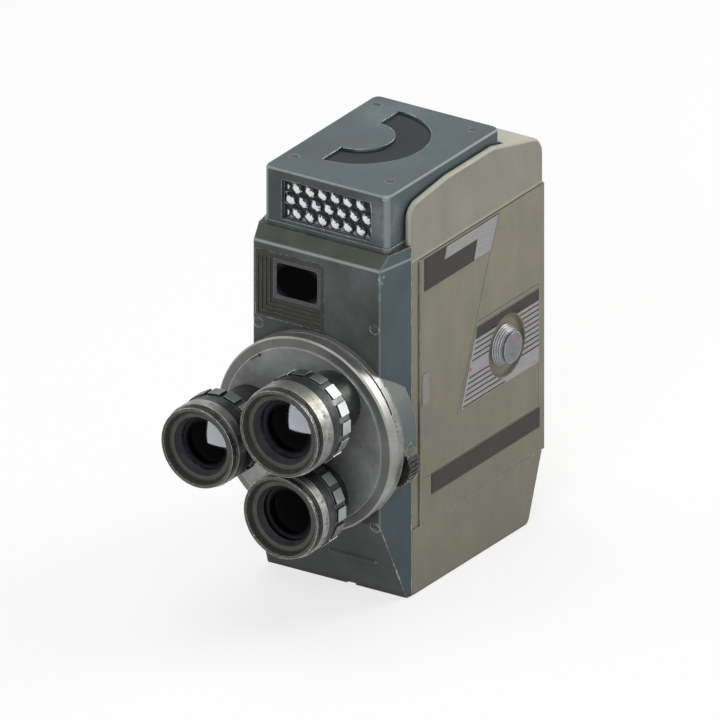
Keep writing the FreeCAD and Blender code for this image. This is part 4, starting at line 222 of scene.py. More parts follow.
world = bpy.data.worlds.new("studioRoom")
world.use_nodes = True
scene.world = world
room = world.node_tree
room.nodes.clear()
height = addNode(room, "SeparateXYZ", {0: addNode(room, "TexCoord").outputs["Generated"]}).outputs["Z"]
sky = addNode(room, "MapRange", {0: height, 1: -0.3, 2: 1.0})
skyTone = addNode(room, "Mix", {0: sky, 6: studio["skyLow"], 7: studio["skyHigh"]}, data_type="RGBA")
lit = addNode(room, "Background", {"Color": skyTone, "Strength": studio["skyStrength"]})
white = addNode(room, "Background", {"Color": (1, 1, 1, 1), "Strength": 1.0})
mixed = addNode(room, "MixShader", {0: seenRays(room), 1: lit, 2: white})
addNode(room, "OutputWorld", {"Surface": mixed})

# the floor shows nearly white to the camera and in reflections, and still takes a soft shadow
floorPaper = bpy.data.materials.new("mattStudioPaper")
floorPaper.use_nodes = True
paper = floorPaper.node_tree
paper.nodes.clear()
glow = addNode(paper, "Math", {0: seenRays(paper), 1: studio["floorGlow"]}, operation="MULTIPLY")
matt = addNode(paper, "BsdfDiffuse", {"Color": studio["floorTone"]})
shine = addNode(paper, "Emission", {"Color": (1, 1, 1, 1), "Strength": 1.0})
addNode(paper, "OutputMaterial", {"Surface": addNode(paper, "MixShader", {0: glow, 1: matt, 2: shine})})
turns = [2 * math.pi * step / studio["floorSteps"] for step in range(studio["floorSteps"])]
floorMesh = rawMesh("floor", [
    (math.cos(turn) * studio["floorRadius"], math.sin(turn) * studio["floorRadius"], -studio["floorDrop"])
    for turn in turns], [tuple(range(studio["floorSteps"]))])
floorMesh.materials.append(floorPaper)
floor = addObject("floor", floorMesh)

# name: where it stands, its width and height, its power and tone
lamps = {
    "windowBox": {"spot": (0.30, -1.10, 0.62), "size": (0.55, 0.60), "power": 6.6, "tone": "#F4F6FF"},
    "topBox": {"spot": (-0.20, 0.10, 1.30), "size": (0.90, 0.90), "power": 7.0, "tone": "#FFFFFF"},
    "rimBox": {"spot": (0.62, 0.98, 0.62), "size": (0.55, 0.70), "power": 8.0, "tone": "#FFFDF8"},
    "leftBox": {"spot": (-1.10, -0.55, 0.45), "size": (0.60, 0.60), "power": 2.0, "tone": "#FFF8F0"},
}


def addLamp(name, lamp, aim):
    data = bpy.data.lights.new(name, "AREA")
    data.shape = "RECTANGLE"
    data.size, data.size_y = lamp["size"]
    data.energy = lamp["power"]
    data.color = linearHex(lamp["tone"])[:3]
    holder = addObject(name, data)
    holder.location = lamp["spot"]
    holder.rotation_euler = (aim - holder.location).to_track_quat("-Z", "Y").to_euler()
    return holder


for name, lamp in lamps.items():
    addLamp(name, lamp, Vector(studio["lampAim"]))
# a window pane mirrored in two of the front glasses only, beside and below each lens as the camera sees it
pane = {"aside": (-0.008, -0.125, 0.006), "size": (0.096, 0.108), "power": 7.4, "tone": "#F0F3FF"}
for lens in ("normal", "tele"):
    glassLow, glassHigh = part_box(f"{lens}_glass")
    spot = (glassLow + glassHigh) / 2 + Vector(pane["aside"])
    holder = addLamp(f"{lens}Pane", {**pane, "spot": spot}, spot + Vector((0, 1, 0)))
    holder.visible_camera = False
    holder.visible_diffuse = False
    mirrored = bpy.data.collections.new(f"{lens}PaneSees")
    mirrored.objects.link(nodes[f"{lens}_glass"])
    holder.light_linking.receiver_collection = mirrored
print("camera, floor and lamps ready")


# materials

# 1 at a point and 0 beyond a reach round it
def nearSpot(tree, place, centre, reachMm):
    away = addNode(tree, "VectorMath", {0: place, 1: tuple(centre)}, operation="DISTANCE")
    return addNode(tree, "MapRange", {0: away, 1: 0.0, 2: reachMm * mm, 3: 1.0, 4: 0.0},
                   interpolation_type="SMOOTHSTEP")


# worn outside edges: rays sent inwards near an edge soon leave the piece again
def edgeWear(tree, place, look):
    inside = addNode(tree, "AmbientOcclusion", {"Distance": look["edgeMm"] * mm}, samples=6, inside=True,
                     only_local=True)
    worn = addNode(tree, "Math", {0: 1.0, 1: inside.outputs["AO"]}, operation="SUBTRACT")
    broken = addNode(tree, "TexNoise", {"Vector": place, "Scale": 1 / (look["chipMm"] * mm), "Detail": 3.0,
                                        "Roughness": 0.65})
    for spot, reachMm, amount in look.get("rubs", ()):
        rub = nearSpot(tree, place, at(*spot), reachMm)
        worn = addNode(tree, "Math", {0: rub, 1: amount, 2: worn}, operation="MULTIPLY_ADD")
    total = addNode(tree, "Math", {0: broken, 1: look["chipNoise"], 2: worn}, operation="MULTIPLY_ADD")
    return addNode(tree, "MapRange", {0: total, 1: look["chipFrom"], 2: look["chipTo"]})


# directions of the large flat faces that slope, so that they aren't taken for rounded edges
def slopesOf(*names, largeMm2=60, straight=0.98):
    areas = {}
    for name in names:
        for face in nodes[name].data.polygons:
            way = tuple(round(c, 2) for c in face.normal)
            areas[way] = areas.get(way, 0) + face.area
    return [way for way, area in areas.items()
            if area > largeMm2 * mm * mm and max(abs(c) for c in way) < straight]


# stoved enamel on cast metal: slow cloudy tone, orange peel, grime in corners deepened by painted shade, bare
# metal on knocked edges, and painted light by the way a face looks and by height
def stovedEnamel(name, look):
    material, tree, shader = startMaterial(name)
    coords = addNode(tree, "TexCoord").outputs
    place = coords["Object"]
    cloud = addNode(tree, "TexNoise", {"Vector": place, "Scale": 1 / (look["cloudMm"] * mm), "Detail": 4.0,
                                       "Roughness": 0.6})
    spread = addNode(tree, "MapRange", {0: cloud, 1: 0.32, 2: 0.68})
    tone = addNode(tree, "Mix", {0: spread, 6: look["shade"], 7: look["paint"]}, data_type="RGBA")
    # painted light: walls that face sideways take their own lit tone, bluer on the cover and housing, and
    # faces that look up take their own, darker on the cover and paler on the housing and top case
    facing = addNode(tree, "VectorMath", {0: coords["Normal"]}, operation="ABSOLUTE")
    facing = addNode(tree, "SeparateXYZ", {0: facing}).outputs
    for axis, low, high, key in (("X", 0.5, 0.95, "side"), ("Z", 0.3, 0.8, "paintedTopLight")):
        mask = addNode(tree, "MapRange", {0: facing[axis], 1: low, 2: high})
        tone = addNode(tree, "Mix", {0: mask, 6: tone, 7: look.get(key, look["paint"])}, data_type="RGBA")
    # patches round a spot, some faded paint and some painted light: a painted shadow low on the cover, a
    # painted highlight on the housing's front right corner, paler and darker patches on the housing's top
    for spot, reachMm, colour in look.get("fadesAndPaintedLight", ()):
        fadeAndLightPatch = nearSpot(tree, place, at(*spot), reachMm)
        fadeAndLightPatch = addNode(tree, "Math", {0: fadeAndLightPatch, 1: spread}, operation="MULTIPLY")
        tone = addNode(tree, "Mix", {0: fadeAndLightPatch, 6: tone, 7: colour}, data_type="RGBA")
    # a cloudy veil, then faint runs down the walls
    runs = addNode(tree, "Mapping", {"Vector": place, "Scale": (1, 1, look["runStretch"])})
    runs = addNode(tree, "TexNoise", {"Vector": runs, "Scale": 1 / (look["runMm"] * mm), "Detail": 3.0})
    for noise, low, high, amount in ((cloud, 0.3, 0.7, look["veil"]), (runs, 0.35, 0.65, look["runTone"])):
        tint = addNode(tree, "MapRange", {0: noise, 1: low, 2: high, 3: 1 - amount, 4: 1 + amount})
        tone = addNode(tree, "VectorMath", {0: tone, "Scale": tint}, operation="SCALE")
    # pale bands at a height: rubbed edges that also carry a painted highlight
    height = addNode(tree, "SeparateXYZ", {0: place}).outputs["Z"]
    for heightMm, reachMm, colour in look.get("rubAndHighlightBands", ()):
        off = addNode(tree, "Math", {0: height, 1: heightMm * mm}, operation="SUBTRACT")
        off = addNode(tree, "Math", {0: off}, operation="ABSOLUTE")
        band = addNode(tree, "MapRange", {0: off, 1: 0.0, 2: reachMm * mm, 3: 1.0, 4: 0.0},
                       interpolation_type="SMOOTHSTEP")
        tone = addNode(tree, "Mix", {0: band, 6: tone, 7: colour}, data_type="RGBA")
    # painted shade: darker towards the bottom, as under light from above
    paintedLowShade = addNode(tree, "MapRange", {0: height, 1: look["lowFrom"] * mm, 2: look["lowTo"] * mm,
                                         3: look["lowShadeTone"], 4: 1.0})
    tone = addNode(tree, "VectorMath", {0: tone, "Scale": paintedLowShade}, operation="SCALE")
    # rounded edges are rubbed paler and carry a painted highlight, then come specks, grime in the corners
    # deepened by painted shade, and chips
    flattest = addNode(tree, "Math", {0: facing["X"], 1: facing["Y"]}, operation="MAXIMUM")
    flattest = addNode(tree, "Math", {0: flattest, 1: facing["Z"]}, operation="MAXIMUM")
    for way in look["slopes"]:
        along = addNode(tree, "VectorMath", {0: coords["Normal"], 1: way}, operation="DOT_PRODUCT")
        flattest = addNode(tree, "Math", {0: flattest, 1: along}, operation="MAXIMUM")
    rubAndHighlight = addNode(tree, "MapRange", {0: flattest, 1: 0.86, 2: 0.98, 3: look["rubAndHighlightTone"], 4: 0.0})
    speck = addNode(tree, "TexNoise", {"Vector": place, "Scale": 1 / (look["speckMm"] * mm), "Detail": 2.0})
    dots = addNode(tree, "MapRange", {0: speck, 1: 0.66, 2: 0.78, 4: look["speckAmount"]})
    # painted shade: occlusion darkens the corners towards the grime tone
    corner = addNode(tree, "AmbientOcclusion", {"Distance": look["grimeMm"] * mm}, samples=6).outputs["AO"]
    dirtAndShade = addNode(tree, "MapRange", {0: corner, 1: 0.25, 2: 0.85, 3: look["grimeAmount"], 4: 0.0})
    chip = edgeWear(tree, place, look)
    for mask, key in ((rubAndHighlight, "rubbedAndLit"), (dots, "grimeAndShade"), (dirtAndShade, "grimeAndShade"), (chip, "bare")):
        tone = addNode(tree, "Mix", {0: mask, 6: tone, 7: look[key]}, data_type="RGBA")
    metal = addNode(tree, "Math", {0: chip, 1: look["bareMetal"]}, operation="MULTIPLY")
    rough = addNode(tree, "MapRange", {0: cloud, 1: 0.3, 2: 0.7, 3: look["roughLow"], 4: look["roughHigh"]})
    soft = addNode(tree, "Bevel", {"Radius": look["softMm"] * mm}, samples=4)
    peel = addNode(tree, "TexNoise", {"Vector": place, "Scale": 1 / (look["peelMm"] * mm), "Detail": 1.0})
    skin = addNode(tree, "Bump", {"Height": peel, "Distance": look["peelDepth"] * mm, "Normal": soft})
    setInputs(tree, shader, {"Base Color": tone, "Metallic": metal, "Roughness": rough, "Normal": skin,
                             "IOR": 1.5, "Specular IOR Level": look["gloss"]})
    return material


# lathe-turned metal about a centre: fine turning lines, stains, rubbed edges; a zone is given as radius or
# depth, from, to, tone and roughness
def turnedMetal(name, look, centre, zones=()):
    material, tree, shader = startMaterial(name)
    place = addNode(tree, "TexCoord").outputs["Object"]
    local = addNode(tree, "VectorMath", {0: place, 1: tuple(centre)}, operation="SUBTRACT")
    depth = addNode(tree, "SeparateXYZ", {0: local}).outputs["Y"]
    flat = addNode(tree, "VectorMath", {0: local, 1: (1, 0, 1)}, operation="MULTIPLY")
    radius = addNode(tree, "VectorMath", {0: flat}, operation="LENGTH")
    turned = addNode(tree, "CombineXYZ", {0: radius, 1: depth})
    lines = addNode(tree, "TexNoise", {"Vector": turned, "Scale": 1 / (look["lineMm"] * mm), "Detail": 2.0})
    stain = addNode(tree, "TexNoise", {"Vector": place, "Scale": 1 / (look["stainMm"] * mm), "Detail": 4.0,
                                       "Roughness": 0.6})
    blend = addNode(tree, "MapRange", {0: stain, 1: 0.35, 2: 0.66})
    tone = addNode(tree, "Mix", {0: blend, 6: look["stain"], 7: look["metal"]}, data_type="RGBA")
    rough = addNode(tree, "MapRange", {0: stain, 1: 0.3, 2: 0.7, 3: look["roughHigh"], 4: look["roughLow"]})
    for kind, low, high, colour, roughness in zones:
        value = radius if kind == "radius" else depth
        above = addNode(tree, "Math", {0: value, 1: low * mm}, operation="GREATER_THAN")
        below = addNode(tree, "Math", {0: value, 1: high * mm}, operation="LESS_THAN")
        mask = addNode(tree, "Math", {0: above, 1: below}, operation="MULTIPLY")
        stained = tuple(look["stainTone"] * c for c in linearHex(colour)[:3]) + (1.0,)
        cloudy = addNode(tree, "Mix", {0: blend, 6: stained, 7: colour}, data_type="RGBA")
        tone = addNode(tree, "Mix", {0: mask, 6: tone, 7: cloudy}, data_type="RGBA")
        rough = addNode(tree, "Mix", {0: mask, 2: rough, 3: roughness}, data_type="FLOAT")
    if "paintedSideLight" in look:  # painted highlight: brighter on the side towards the light, darker on the far side
        sideLight = addNode(tree, "VectorMath", {0: flat}, operation="NORMALIZE")
        sideLight = addNode(tree, "VectorMath", {0: sideLight, 1: look["litSide"]}, operation="DOT_PRODUCT")
        sideLight = addNode(tree, "MapRange", {0: sideLight, 1: 0.5, 2: 1.0, 3: 0.8, 4: 1 + look["paintedSideLight"]})
        tone = addNode(tree, "VectorMath", {0: tone, "Scale": sideLight}, operation="SCALE")
    for spot, reachMm, colour in look.get("blots", ()):  # spots in mm from the centre
        blot = nearSpot(tree, place, centre + Vector(spot) * mm, reachMm)
        tone = addNode(tree, "Mix", {0: blot, 6: tone, 7: colour}, data_type="RGBA")
    tint = addNode(tree, "MapRange", {0: lines, 1: 0.35, 2: 0.65, 3: 1 - look["lineTone"],
                                      4: 1 + look["lineTone"]})
    tone = addNode(tree, "VectorMath", {0: tone, "Scale": tint}, operation="SCALE")
    wear = edgeWear(tree, place, look)
    tone = addNode(tree, "Mix", {0: wear, 6: tone, 7: look["edge"]}, data_type="RGBA")
    rough = addNode(tree, "Mix", {0: wear, 2: rough, 3: look["edgeRough"]}, data_type="FLOAT")
    soft = addNode(tree, "Bevel", {"Radius": look["softMm"] * mm}, samples=4)
    skin = addNode(tree, "Bump", {"Height": lines, "Distance": look["lineDepth"] * mm, "Normal": soft})
    setInputs(tree, shader, {"Base Color": tone, "Metallic": look["metallic"], "Roughness": rough,
                             "Normal": skin})
    if not look["metallic"]:
        setInputs(tree, shader, {"Specular IOR Level": look["gloss"]})
    return material


# coated glass over a dark barrel: black in the middle, greyer towards its mount as a painted reflection, with
# a little dust
def coatedGlass(name, look, centre, dustMm=1.5, dustRough=0.05):
    material, tree, shader = startMaterial(name)
    place = addNode(tree, "TexCoord").outputs["Object"]
    local = addNode(tree, "Mapping", {"Vector": place, "Location": tuple(-c for c in centre)})
    flat = addNode(tree, "VectorMath", {0: local, 1: look.get("shape", (1, 0, 1))}, operation="MULTIPLY")
    radius = addNode(tree, "VectorMath", {0: flat}, operation="LENGTH")
    edge = addNode(tree, "MapRange", {0: radius, 1: look["dark"] * mm, 2: look["pale"] * mm},
                   interpolation_type="SMOOTHSTEP")
    tone = addNode(tree, "Mix", {0: edge, 6: look["deep"], 7: look["rim"]}, data_type="RGBA")
    dust = addNode(tree, "TexNoise", {"Vector": place, "Scale": 1 / (dustMm * mm), "Detail": 3.0})
    rough = addNode(tree, "MapRange", {0: dust, 1: 0.4, 2: 0.8, 3: look["rough"],
                                       4: look["rough"] + dustRough})
    setInputs(tree, shader, {"Base Color": tone, "Roughness": rough, "IOR": 1.5,
                             "Specular IOR Level": look["gloss"]})
    return material


enamelBase = {
    "cloudMm": 14, "speckMm": 1.6, "speckAmount": 0.25, "grimeMm": 2.5, "grimeAmount": 0.5, "edgeMm": 0.55,
    "chipMm": 2.2, "chipNoise": 1.0, "chipFrom": 0.94, "chipTo": 1.02, "bareMetal": 1.0, "roughLow": 0.4,
    "roughHigh": 0.55, "gloss": 0.25, "softMm": 0.35, "peelMm": 0.9, "peelDepth": 0.012, "lowShadeTone": 0.8,
    "rubAndHighlightTone": 0.7, "veil": 0.1, "runTone": 0.04, "runMm": 7, "runStretch": 0.3,
    "lowFrom": 30, "lowTo": 130,
}
# khaki-beige stoved enamel on die-cast shells: warm grey, hardly shiny, browner and darker downwards, the
# darkening a painted shade
beigeBase = {
    **enamelBase, "grimeAndShade": "#4A4637", "bare": "#A3A092", "bareMetal": 0.0, "chipFrom": 0.92, "chipTo": 1.04,
    "cloudMm": 16, "softMm": 0.5,
}
beigeEnamel = stovedEnamel("beigeStovedEnamel", {
    **beigeBase, "paint": "#817F70", "shade": "#787566", "side": "#807D6C", "rubbedAndLit": "#959384",
    "slopes": slopesOf("main_casting", "base_casting", "film_door")})
dress(beigeEnamel, "main_casting", "base_casting", "film_door", "mechanism_cover")
# the top case has faded lighter than the doors; where it looks up it carries a painted highlight, and a
# painted highlight runs along its lower edge
fadedAndLitEnamel = stovedEnamel("fadedAndLitBeigeStovedEnamel", {
    **beigeBase, "paint": "#8C8A7B", "shade": "#828071", "side": "#89877A", "paintedTopLight": "#ABA99C",
    "rubbedAndLit": "#A6A497", "lowShadeTone": 1.0, "rubAndHighlightTone": 0.85, "slopes": slopesOf("top_case"),
    "rubAndHighlightBands": [(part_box("top_case")[0].z / mm + 0.3, 1.3, "#B4B2A4")]})
dress(fadedAndLitEnamel, "top_case")
# grey-green enamel on the front cover, chipped to bright metal along its edges, with a painted shadow low on
# its front right, painted shade in its corners and a painted highlight along the brow's lower edge
coverEnamel = stovedEnamel("greyGreenStovedEnamel", {
    **enamelBase, "paint": "#4C5250", "shade": "#414542", "side": "#465457", "paintedTopLight": "#3D3E37",
    "grimeAndShade": "#241D15",
    "bare": "#A9ABA6", "rubbedAndLit": "#6A706D", "chipFrom": 0.84, "chipTo": 0.9, "grimeAmount": 0.8,
    "grimeMm": 4.0,
    "lowShadeTone": 0.7, "rubAndHighlightTone": 0.8, "veil": 0.14, "runTone": 0.06,
    "rubs": [((26.8, -15.6, 126.5), 6.0, 0.3), ((26.6, -16.0, 120.0), 4.0, 0.22), ((28.6, -6.0, 12.0), 6.0,
    0.2)],
    "fadesAndPaintedLight": [((17.0, -8.0, 17.0), 16.0, "#0C0E0E")], "rubAndHighlightBands": [(130.45, 0.8, "#8E938F")],
    "slopes": slopesOf("front_cover")})
dress(coverEnamel, "front_cover")
# blue-grey enamel on the meter housing, glossier than the cover, with a painted highlight on its front right
# corner and paler and darker patches on its top
housingEnamel = stovedEnamel("blueGreyStovedEnamel", {
    **enamelBase, "paint": "#404946", "shade": "#38413E", "side": "#425053", "paintedTopLight": "#445052",
    "grimeAndShade": "#24241D",
    "bare": "#B4BABB", "rubbedAndLit": "#7D8784", "chipFrom": 0.9, "chipTo": 0.98, "roughLow": 0.34,
    "roughHigh": 0.45,
    "lowShadeTone": 1.0, "rubAndHighlightTone": 0.95, "veil": 0.14, "rubs": [((25.6, -9.6, 156.2), 3.5, 0.45)],
    "fadesAndPaintedLight": [((24.0, -10.3, 147.0), 12.0, "#767C79"), ((6.0, 22.0, 157.0), 18.0, "#566264"),
              ((-14.0, 52.0, 157.0), 20.0, "#5F6B6D"), ((-20.0, 10.0, 157.0), 14.0, "#38433F")],
    "slopes": slopesOf("meter_housing")})
dress(housingEnamel, "meter_housing")
# bezel of pressed sheet in dark grey-green, brown dirt in its steps deepened by painted shade
bezelEnamel = stovedEnamel("pressedBezelEnamel", {
    **enamelBase, "paint": "#393B37", "shade": "#32322E", "grimeAndShade": "#191712", "bare": "#6A6A62",
    "rubbedAndLit": "#4C4B45",
    "grimeMm": 1.0, "grimeAmount": 0.8, "chipFrom": 0.82, "chipTo": 0.98, "softMm": 0.15, "edgeMm": 0.35,
    "lowShadeTone": 1.0, "slopes": slopesOf("viewfinder_bezel")})
dress(bezelEnamel, "viewfinder_bezel")

metalBase = {
    "lineMm": 0.6, "lineTone": 0.06, "lineDepth": 0.004, "stainMm": 8, "roughLow": 0.3, "roughHigh": 0.45,
    "edgeMm": 0.35, "chipMm": 1.5, "chipNoise": 0.7, "chipFrom": 0.6, "chipTo": 0.8, "softMm": 0.2,
    "edge": "#C9C9C4", "edgeRough": 0.28, "stainTone": 0.72, "metallic": 1.0,
}
ringLow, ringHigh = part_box("turret_seat_ring")
turretCentre = Vector(((ringLow.x + ringHigh.x) / 2, ringLow.y, (ringLow.z + ringHigh.z) / 2))
# die-cast turret disc, faced on a lathe and tarnished: mid grey with a bright worn bevel
discMetal = turnedMetal("facedTurretAlloy", {
    **metalBase, "metal": "#969896", "stain": "#737472", "stainMm": 14, "lineTone": 0.025, "lineDepth": 0.002,
    "roughLow": 0.46, "roughHigh": 0.6, "metallic": 0.8},
    turretCentre, [("radius", 32.8, 33.05, "#A9AAA6", 0.4), ("radius", 33.05, 36.2, "#7C7E7B", 0.48),
                   ("radius", 36.2, 37.2, "#9A9B97", 0.38)])
dress(discMetal, "turret_disc")
# seat ring of turned alloy, smoother than the disc and dulled by handling
seatMetal = turnedMetal("brightTurnedAlloy", {
    **metalBase, "metal": "#8D8E8B", "stain": "#747674", "roughLow": 0.36, "roughHigh": 0.48,
    "metallic": 0.6},
    turretCentre)
dress(seatMetal, "turret_seat_ring")

scaleRise = 0.7  # mm that the scale ring stands out beyond the rim
lensLooks = {}
for lens in ("normal", "tele", "wide"):
    low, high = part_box(f"{lens}_scale_ring")
    rim = (high.x - low.x) / 2 / mm - scaleRise
    centre = Vector(((low.x + high.x) / 2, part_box(f"{lens}_barrel")[0].y, (low.z + high.z) / 2))
    lensLooks[lens] = {"rim": rim, "centre": centre, "scaleLow": (low.y - centre.y) / mm,
                       "scaleHigh": (high.y - centre.y) / mm}
    # black-anodised barrel, rubbed to bright metal at its lip and along its bands
    barrelMetal = turnedMetal(f"blackAnodisedBarrel_{lens}", {
        **metalBase, "metal": "#474A48", "stain": "#353736", "stainMm": 4, "roughLow": 0.4, "roughHigh": 0.52,
        "chipMm": 0.9, "chipNoise": 1.2, "chipFrom": 0.82, "chipTo": 1.05, "edge": "#B4B5B0"},
        centre, [("depth", -0.1, 0.3, "#5A5B57", 0.4)])
    dress(barrelMetal, f"{lens}_barrel")
    # satin chrome scale ring, clouded grey, with one yellowed patch on the taking lens
    scaleMetal = turnedMetal(f"satinChromeScale_{lens}", {
        **metalBase, "metal": "#9C9D99", "stain": "#737573", "stainMm": 3.5,
        "roughLow": 0.34, "roughHigh": 0.48, "edge": "#C9C9C3",
        "blots": [((9.5, 5.0, 13.5), 6.0, "#8C8C7E")] if lens == "normal" else []}, centre)
    dress(scaleMetal, f"{lens}_scale_ring")
    # grip ring in dark anodised alloy, its pads faced bare, with a painted highlight on the side towards the
    # light
    gripMetal = turnedMetal(f"paddedGripAlloy_{lens}", {
        **metalBase, "metal": "#454947", "stain": "#393C3B", "roughLow": 0.42, "roughHigh": 0.52,
        "softMm": 0.12, "edgeMm": 0.3, "chipNoise": 0.5, "chipFrom": 0.45, "chipTo": 0.62, "edge": "#A5A7A3",
        "litSide": (0.94, 0, 0.34), "paintedSideLight": 1.7 if lens == "normal" else 0.7},
        centre, [("radius", rim + 0.75, rim + 2, "#7C8180", 0.42)])
    dress(gripMetal, f"{lens}_grip_ring")
    # painted reflection: the glass turns greyer towards its mount
    lensGlass = coatedGlass(f"coatedLensGlass_{lens}", {
        "dark": 0.5 * rim, "pale": 0.72 * rim, "deep": "#010101", "rim": "#3A3A3E", "rough": 0.05,
        "gloss": 0.02}, centre)
    dress(lensGlass, f"{lens}_glass")
print("body, turret and lens materials ready")


# plain surfaces: one look each, with grain, smudges and rubbed edges
def plainSurface(name, look):
    material, tree, shader = startMaterial(name)
    place = addNode(tree, "TexCoord").outputs["Object"]
    grain = addNode(tree, "Mapping", {"Vector": place, "Scale": look.get("stretch", (1, 1, 1))})
    texture = addNode(tree, "TexNoise", {"Vector": grain, "Scale": 1 / (look["grainMm"] * mm), "Detail": 4.0})
    blend = addNode(tree, "MapRange", {0: texture, 1: 0.35, 2: 0.65})
    tone = addNode(tree, "Mix", {0: blend, 6: look["shade"], 7: look["colour"]}, data_type="RGBA")
    wear = edgeWear(tree, place, {**metalBase, **look})
    tone = addNode(tree, "Mix", {0: wear, 6: tone, 7: look.get("edge", look["colour"])}, data_type="RGBA")
    rough = addNode(tree, "MapRange", {0: texture, 1: 0.3, 2: 0.7, 3: look["roughLow"], 4: look["roughHigh"]})
    soft = addNode(tree, "Bevel", {"Radius": look.get("softMm", 0.15) * mm}, samples=4)
    skin = addNode(tree, "Bump", {"Height": texture, "Distance": look.get("depth", 0.004) * mm,
                                  "Normal": soft})
    setInputs(tree, shader, {"Base Color": tone, "Metallic": look.get("metallic", 0.0), "Roughness": rough,
                             "Normal": skin})
    if not look.get("metallic"):
        setInputs(tree, shader, {"IOR": 1.5, "Specular IOR Level": look.get("gloss", 0.5)})
    return material


# satin-anodised knob: pale lavender silver
knobSilver = plainSurface("satinAnodisedSilver", {
    "colour": "#7B7C80", "shade": "#6B6C6F", "edge": "#C4C4C6", "grainMm": 2.0, "metallic": 0.6,
    "roughLow": 0.34, "roughHigh": 0.45, "edgeMm": 0.3, "chipFrom": 0.5, "chipTo": 0.75})
dress(knobSilver, "lock_knob")
# etched plates: dull dark fill with a faint brushed grain, rubbed at the very edge only
thinPlate = {"edgeMm": 0.02, "chipNoise": 0.3, "chipFrom": 0.75, "chipTo": 0.95, "softMm": 0.02}
darkEtch = plainSurface("blackFilledEtchedPlate", {
    "colour": "#363431", "shade": "#32302D", "edge": "#5C5A56", "grainMm": 0.8, "stretch": (1, 0.15, 1),
    "metallic": 0.0, "roughLow": 0.45, "roughHigh": 0.55, "gloss": 0.2, **thinPlate})
paleEtch = plainSurface("satinEtchedPlate", {
    "colour": "#949494", "shade": "#888786", "edge": "#A6A5A3", "grainMm": 0.8, "stretch": (1, 0.15, 1),
    "metallic": 0.2, "roughLow": 0.4, "roughHigh": 0.5, **thinPlate})
dress(darkEtch, "nameplate", "lower_plate")
dress(paleEtch, "stripe_plate")
labelFilm = plainSurface("printedLabelFilm", {
    "colour": "#8B8483", "shade": "#7E7776", "grainMm": 1.5, "roughLow": 0.4, "roughHigh": 0.5, "gloss": 0.25,
    **thinPlate})
dress(labelFilm, "edge_label")
# knurled thumbwheel, release and dials
wheelMetal = plainSurface("blackenedKnurledSteel", {
    "colour": "#3C3D3B", "shade": "#252624", "edge": "#85857F", "grainMm": 1.0, "metallic": 0.9,
    "roughLow": 0.35, "roughHigh": 0.5, "edgeMm": 0.3, "chipNoise": 0.9, "chipFrom": 0.72, "chipTo": 0.95})
dress(wheelMetal, "thumbwheel")
blackBakelite = plainSurface("mouldedBlackBakelite", {
    "colour": "#1E1E1D", "shade": "#171716", "edge": "#3A3A37", "grainMm": 2.5, "roughLow": 0.3,
    "roughHigh": 0.42})
dress(blackBakelite, "release_button", "footage_dial", "speed_dial")
eyeRubber = plainSurface("mouldedEyepieceRubber", {
    "colour": "#222221", "shade": "#1A1A19", "grainMm": 0.8, "roughLow": 0.6, "roughHigh": 0.75,
    "depth": 0.01})
dress(eyeRubber, "viewfinder_eyepiece")
# screws painted over with the cases, scratched bare round their slots
screwSteel = plainSurface("overpaintedScrewSteel", {
    "colour": "#4B5250", "shade": "#3A3F3E", "edge": "#777972", "grainMm": 0.8, "metallic": 0.3,
    "gloss": 0.25,
    "roughLow": 0.4, "roughHigh": 0.5, "chipFrom": 0.7, "chipTo": 1.0})
dress(screwSteel, "cover_screws", "housing_screws", "side_screws")
worksSteel = plainSurface("groundWorksSteel", {
    "colour": "#A4A6A6", "shade": "#8C8E8E", "edge": "#C6C8C8", "grainMm": 1.2, "metallic": 1.0,
    "roughLow": 0.25, "roughHigh": 0.4})
dress(worksSteel, "turret_pivot", "takeup_spindle", "supply_spindle", "mechanism_plate", "film_guides",
      "winding_key_hub", "winding_key_handle")
worksBrass = plainSurface("turnedWorksBrass", {
    "colour": "#B39A5C", "shade": "#98804A", "edge": "#D3BD82", "grainMm": 1.2, "metallic": 1.0,
    "roughLow": 0.25, "roughHigh": 0.4})
dress(worksBrass, "spring_barrel", "intermediate_gear", "tripod_bush")
blackMetal = plainSurface("blackChromedSteel", {
    "colour": "#2A2B2B", "shade": "#222323", "edge": "#5A5B5A", "grainMm": 1.5, "metallic": 0.8,
    "roughLow": 0.35, "roughHigh": 0.5})
dress(blackMetal, "viewfinder_tube", "gate_plate", "pressure_plate", "shutter", "takeup_spool",
      "supply_spool")
dialLow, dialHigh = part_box("meter_dial")
cardReach = 6.0  # mm that the card reaches left of the needle's axis
dialAxis = (dialLow.x / mm + cardReach, ((dialLow.y + dialHigh.y) / 2 - seamY) / mm)
# painted reflection: the window glasses turn greyer outwards
smokedGlass = coatedGlass("smokedWindowGlass", {
    "dark": 9.0, "pale": 30.0, "deep": "#232426", "rim": "#2B2D2F", "rough": 0.14, "gloss": 0.06,
    "shape": (1, 1, 0)}, at(*dialAxis, 0))
dress(smokedGlass, "meter_window", "footage_window")
finderGlass = coatedGlass("blackFinderGlass", {
    "dark": 6.2, "pale": 9.4, "deep": "#010101", "rim": "#2A2A2D", "rough": 0.04, "gloss": 0.02,
    "shape": (0.78, 0, 1.05)}, at(-8.6, 0, 117.35))
dress(finderGlass, "viewfinder_window", "eyepiece_lens")
dialCard = plainSurface("printedDialCard", {
    "colour": "#4A4A48", "shade": "#434341", "grainMm": 2.0, "roughLow": 0.5, "roughHigh": 0.65})
dress(dialCard, "meter_dial", "meter_movement")
cellFace = plainSurface("seleniumCellFace", {
    "colour": "#3A3330", "shade": "#2C2826", "grainMm": 1.0, "metallic": 0.5, "roughLow": 0.2,
    "roughHigh": 0.35})
dress(cellFace, "meter_cell")
needleRed = plainSurface("redLacqueredNeedle", {
    "colour": "#8E3A2E", "shade": "#7A3228", "grainMm": 1.0, "roughLow": 0.35, "roughHigh": 0.45})
dress(needleRed, "meter_needle")
